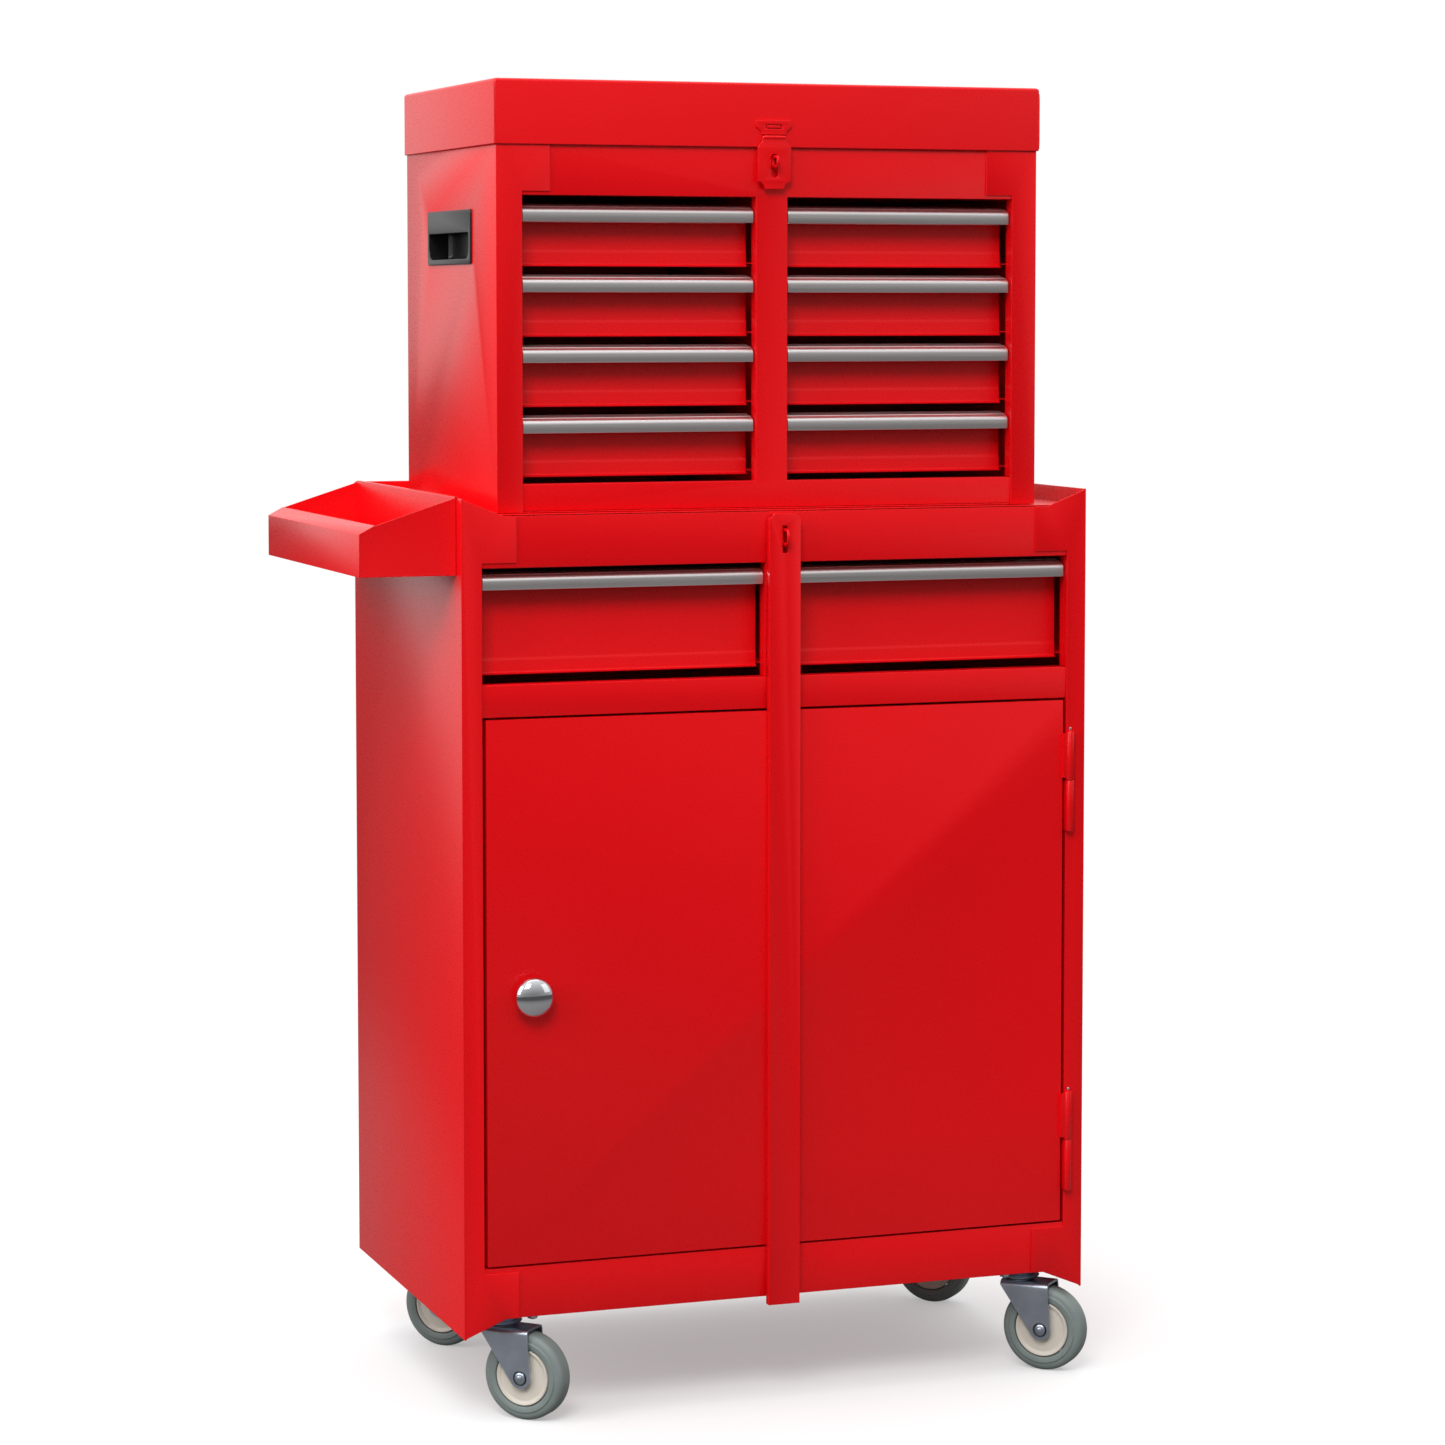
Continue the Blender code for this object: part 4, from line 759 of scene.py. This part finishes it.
def caster(place_name):
    """One swivel caster: hub, tyre, fork with bolts and eye rings, and swivel head, from the nodes' boxes."""
    node = "caster_" + place_name
    tyre_low, tyre_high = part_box(node + "_tyre")
    race_low, race_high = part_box(node + "_plate")
    king = ((race_low.x + race_high.x) / 2, (race_low.y + race_high.y) / 2)
    wheel = ((tyre_low.x + tyre_high.x) / 2, (tyre_low.y + tyre_high.y) / 2, (tyre_low.z + tyre_high.z) / 2)
    wheel_r = (tyre_high.z - tyre_low.z) / 2
    trail = math.hypot(wheel[0] - king[0], wheel[1] - king[1])
    along = np.array(((wheel[0] - king[0]) / trail, (wheel[1] - king[1]) / trail, 0))
    axle = np.array((-along[1], along[0], 0))
    rolling = (along, up, axle, wheel)

    # Wheel: a dished hub face with a bright rim, a dark gap, and a tyre with a step and a rounded tread.
    hub_r, hub_half, tyre_half = 0.0244, 0.0108, 0.0105
    half = [(0.0046, hub_half), (0.0074, hub_half), (0.0080, hub_half - 0.0006), (0.0090, hub_half - 0.0016),
            (0.0200, hub_half - 0.0018), (0.0222, hub_half - 0.0006), (0.0232, hub_half - 0.0004),
            (hub_r - 0.0009, hub_half - 0.0006), (hub_r - 0.0004, hub_half - 0.0014)]
    profile = half + [(r, -h) for r, h in half[::-1]]
    hub = turned("hub", profile, rolling, 64, ring=True, angle=24)
    fit_piece(node + "_wheel_hub", hub, hub_plastic, "hub_plastic", home[node + "_hub"], node + "_hub")
    turn = np.linspace(0, math.pi / 2, 9)
    tread = [(wheel_r - 0.0062 + 0.0062 * math.sin(a), tyre_half - 0.0055 + 0.0047 * math.cos(a))
             for a in turn]
    wall_line = [(0.0247, tyre_half - 0.0014), (0.0251, tyre_half - 0.0004), (0.0260, tyre_half),
                 (wheel_r - 0.0070, tyre_half), (wheel_r - 0.0066, tyre_half - 0.0005)]
    half = wall_line + tread
    tyre = turned("tyre", half + [(r, -h) for r, h in half[::-1]], rolling, 96, ring=True, angle=40)
    fit_piece(node + "_moulded_tyre", tyre, tyre_rubber, "tyre_rubber", home[node + "_tyre"], node + "_tyre")

    # Fork: one strip bent down at both sides of its crown, each leg narrowing to a round eye.
    fork_low, fork_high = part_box(node + "_fork")
    sheet, leg_y, bend = 0.0019, 0.0128, 0.0035
    crown_z = fork_high.z - sheet / 2 - 0.0002
    eye_r, king_r, past = 0.0092, 0.0165, 0.0065
    eye = (trail, wheel[2])
    low_z = wheel[2] - eye_r
    legs_z = np.concatenate([low_z + eye_r * (1 - np.cos(np.linspace(0.12, math.pi / 2, 9))),
                             np.linspace(wheel[2] + 0.002, crown_z - bend, 12)])
    a = np.linspace(0, math.pi / 2, 6)[1:]
    up_leg = [(leg_y, z) for z in legs_z]
    corner = [(leg_y - bend + bend * math.cos(t), crown_z - bend + bend * math.sin(t)) for t in a]
    over = [(y, crown_z) for y in np.linspace(leg_y - bend, 0, 6)[1:]]
    half_path = np.array(up_leg + corner + over)
    heads = np.minimum(half_path[:, 1], crown_z - bend)
    apex_z = crown_z + 0.0001
    front_edge = edge_of(heads, (-king_r, apex_z), eye, eye_r, -1)
    rear_edge = edge_of(heads, (trail + past, apex_z), eye, eye_r, 1)
    path = np.vstack([half_path, half_path[-2::-1] * (-1, 1)])
    front_edge, rear_edge = (np.concatenate([e, e[-2::-1]]) for e in (front_edge, rear_edge))
    upright = (along, axle, (0, 0, 1), (king[0], king[1], 0))
    fork = strip("fork", path, front_edge, rear_edge, sheet, upright)
    bolts = []
    for sign in (1, -1):
        outer = leg_y + sheet / 2
        washer = [(0.0003, outer + 0.0026), (0.0016, outer + 0.0026), (0.0024, outer + 0.0022),
                  (0.0026, outer + 0.0012), (0.0040, outer + 0.0011), (0.0047, outer + 0.0006),
                  (0.0048, outer - 0.0002)]
        bolts.append(turned("axle_end", washer, (along, up, axle * sign, wheel), 32))
    rod = [(0.0003, leg_y), (0.0038, leg_y), (0.0038, -leg_y), (0.0003, -leg_y)]
    bolts.append(turned("axle_rod", rod, rolling, 24))
    cup = [(0.0003, crown_z + sheet / 2 + 0.0001), (0.0112, crown_z + sheet / 2 + 0.0001),
           (0.0120, crown_z - sheet / 2 - 0.0004), (0.0095, crown_z - sheet / 2 - 0.0012),
           (0.0060, crown_z - sheet / 2 - 0.0014), (0.0003, crown_z - sheet / 2 - 0.0014)]
    bolts.append(turned("kingpin", cup, upright, 40))
    fit_piece(node + "_pressed_fork", seal(fork, *bolts), zinc, "zinc_plate", home[node + "_fork"],
              node + "_fork")
    # A ring of dark metal lies round each axle end, just outside its washer.
    ring = [(0.0049, leg_y + 0.0010), (0.0056, leg_y + 0.0013), (0.0063, leg_y + 0.0010),
            (0.0056, leg_y + 0.0008)]
    rings = [turned("ring", ring, (along, up, axle * sign, wheel), 36, ring=True) for sign in (1, -1)]
    fit_piece(node + "_eye_rings", seal(*rings), dark_steel, "zinc_plate", home[node + "_fork"])

    # Swivel head: two pressed race rings under a plate with rounded corners and four bolts.
    x0, x1, y0, y1 = race_low.x, race_high.x, race_low.y, race_high.y
    plate_thick, head_low = 0.002, fork_high.z + 0.0003
    slab_z = race_high.z - plate_thick / 2
    line = rounded([(x0, y0), (x1, y0), (x1, y1), (x0, y1)], 0.006)
    slab = plate("slab", line, plate_thick, (*standing, (0, 0, slab_z)))
    head_high = slab_z - plate_thick / 2
    step = (head_high - head_low) / 7
    levels = [(0.0003, head_high), (0.0150, head_high), (0.0160, head_high - step),
              (0.0150, head_high - 2 * step), (0.0122, head_high - 2.4 * step),
              (0.0118, head_high - 3.2 * step), (0.0152, head_high - 3.8 * step),
              (0.0160, head_high - 4.8 * step), (0.0150, head_high - 5.8 * step),
              (0.0120, head_low + 0.3 * step), (0.0110, head_low), (0.0003, head_low)]
    head = turned("head", levels, (*standing, (king[0], king[1], 0)), 56, angle=50)
    nuts = []
    inset = 0.0075
    for bx in (x0 + inset, x1 - inset):
        for by in (y0 + inset, y1 - inset):
            nut = [(0.0003, -0.0042), (0.0020, -0.0042), (0.0024, -0.0036), (0.0042, -0.0034),
                   (0.0045, -0.0028), (0.0045, 0.0002), (0.0003, 0.0002)]
            nuts.append(turned("nut", nut, (*standing, (bx, by, head_high)), 6, angle=20))
    fit_piece(node + "_swivel_head", seal(slab, head, *nuts), zinc, "zinc_plate", home[node + "_plate"],
              node + "_plate")


for where_caster in ("front_left", "front_right", "rear_left", "rear_right"):
    caster(where_caster)
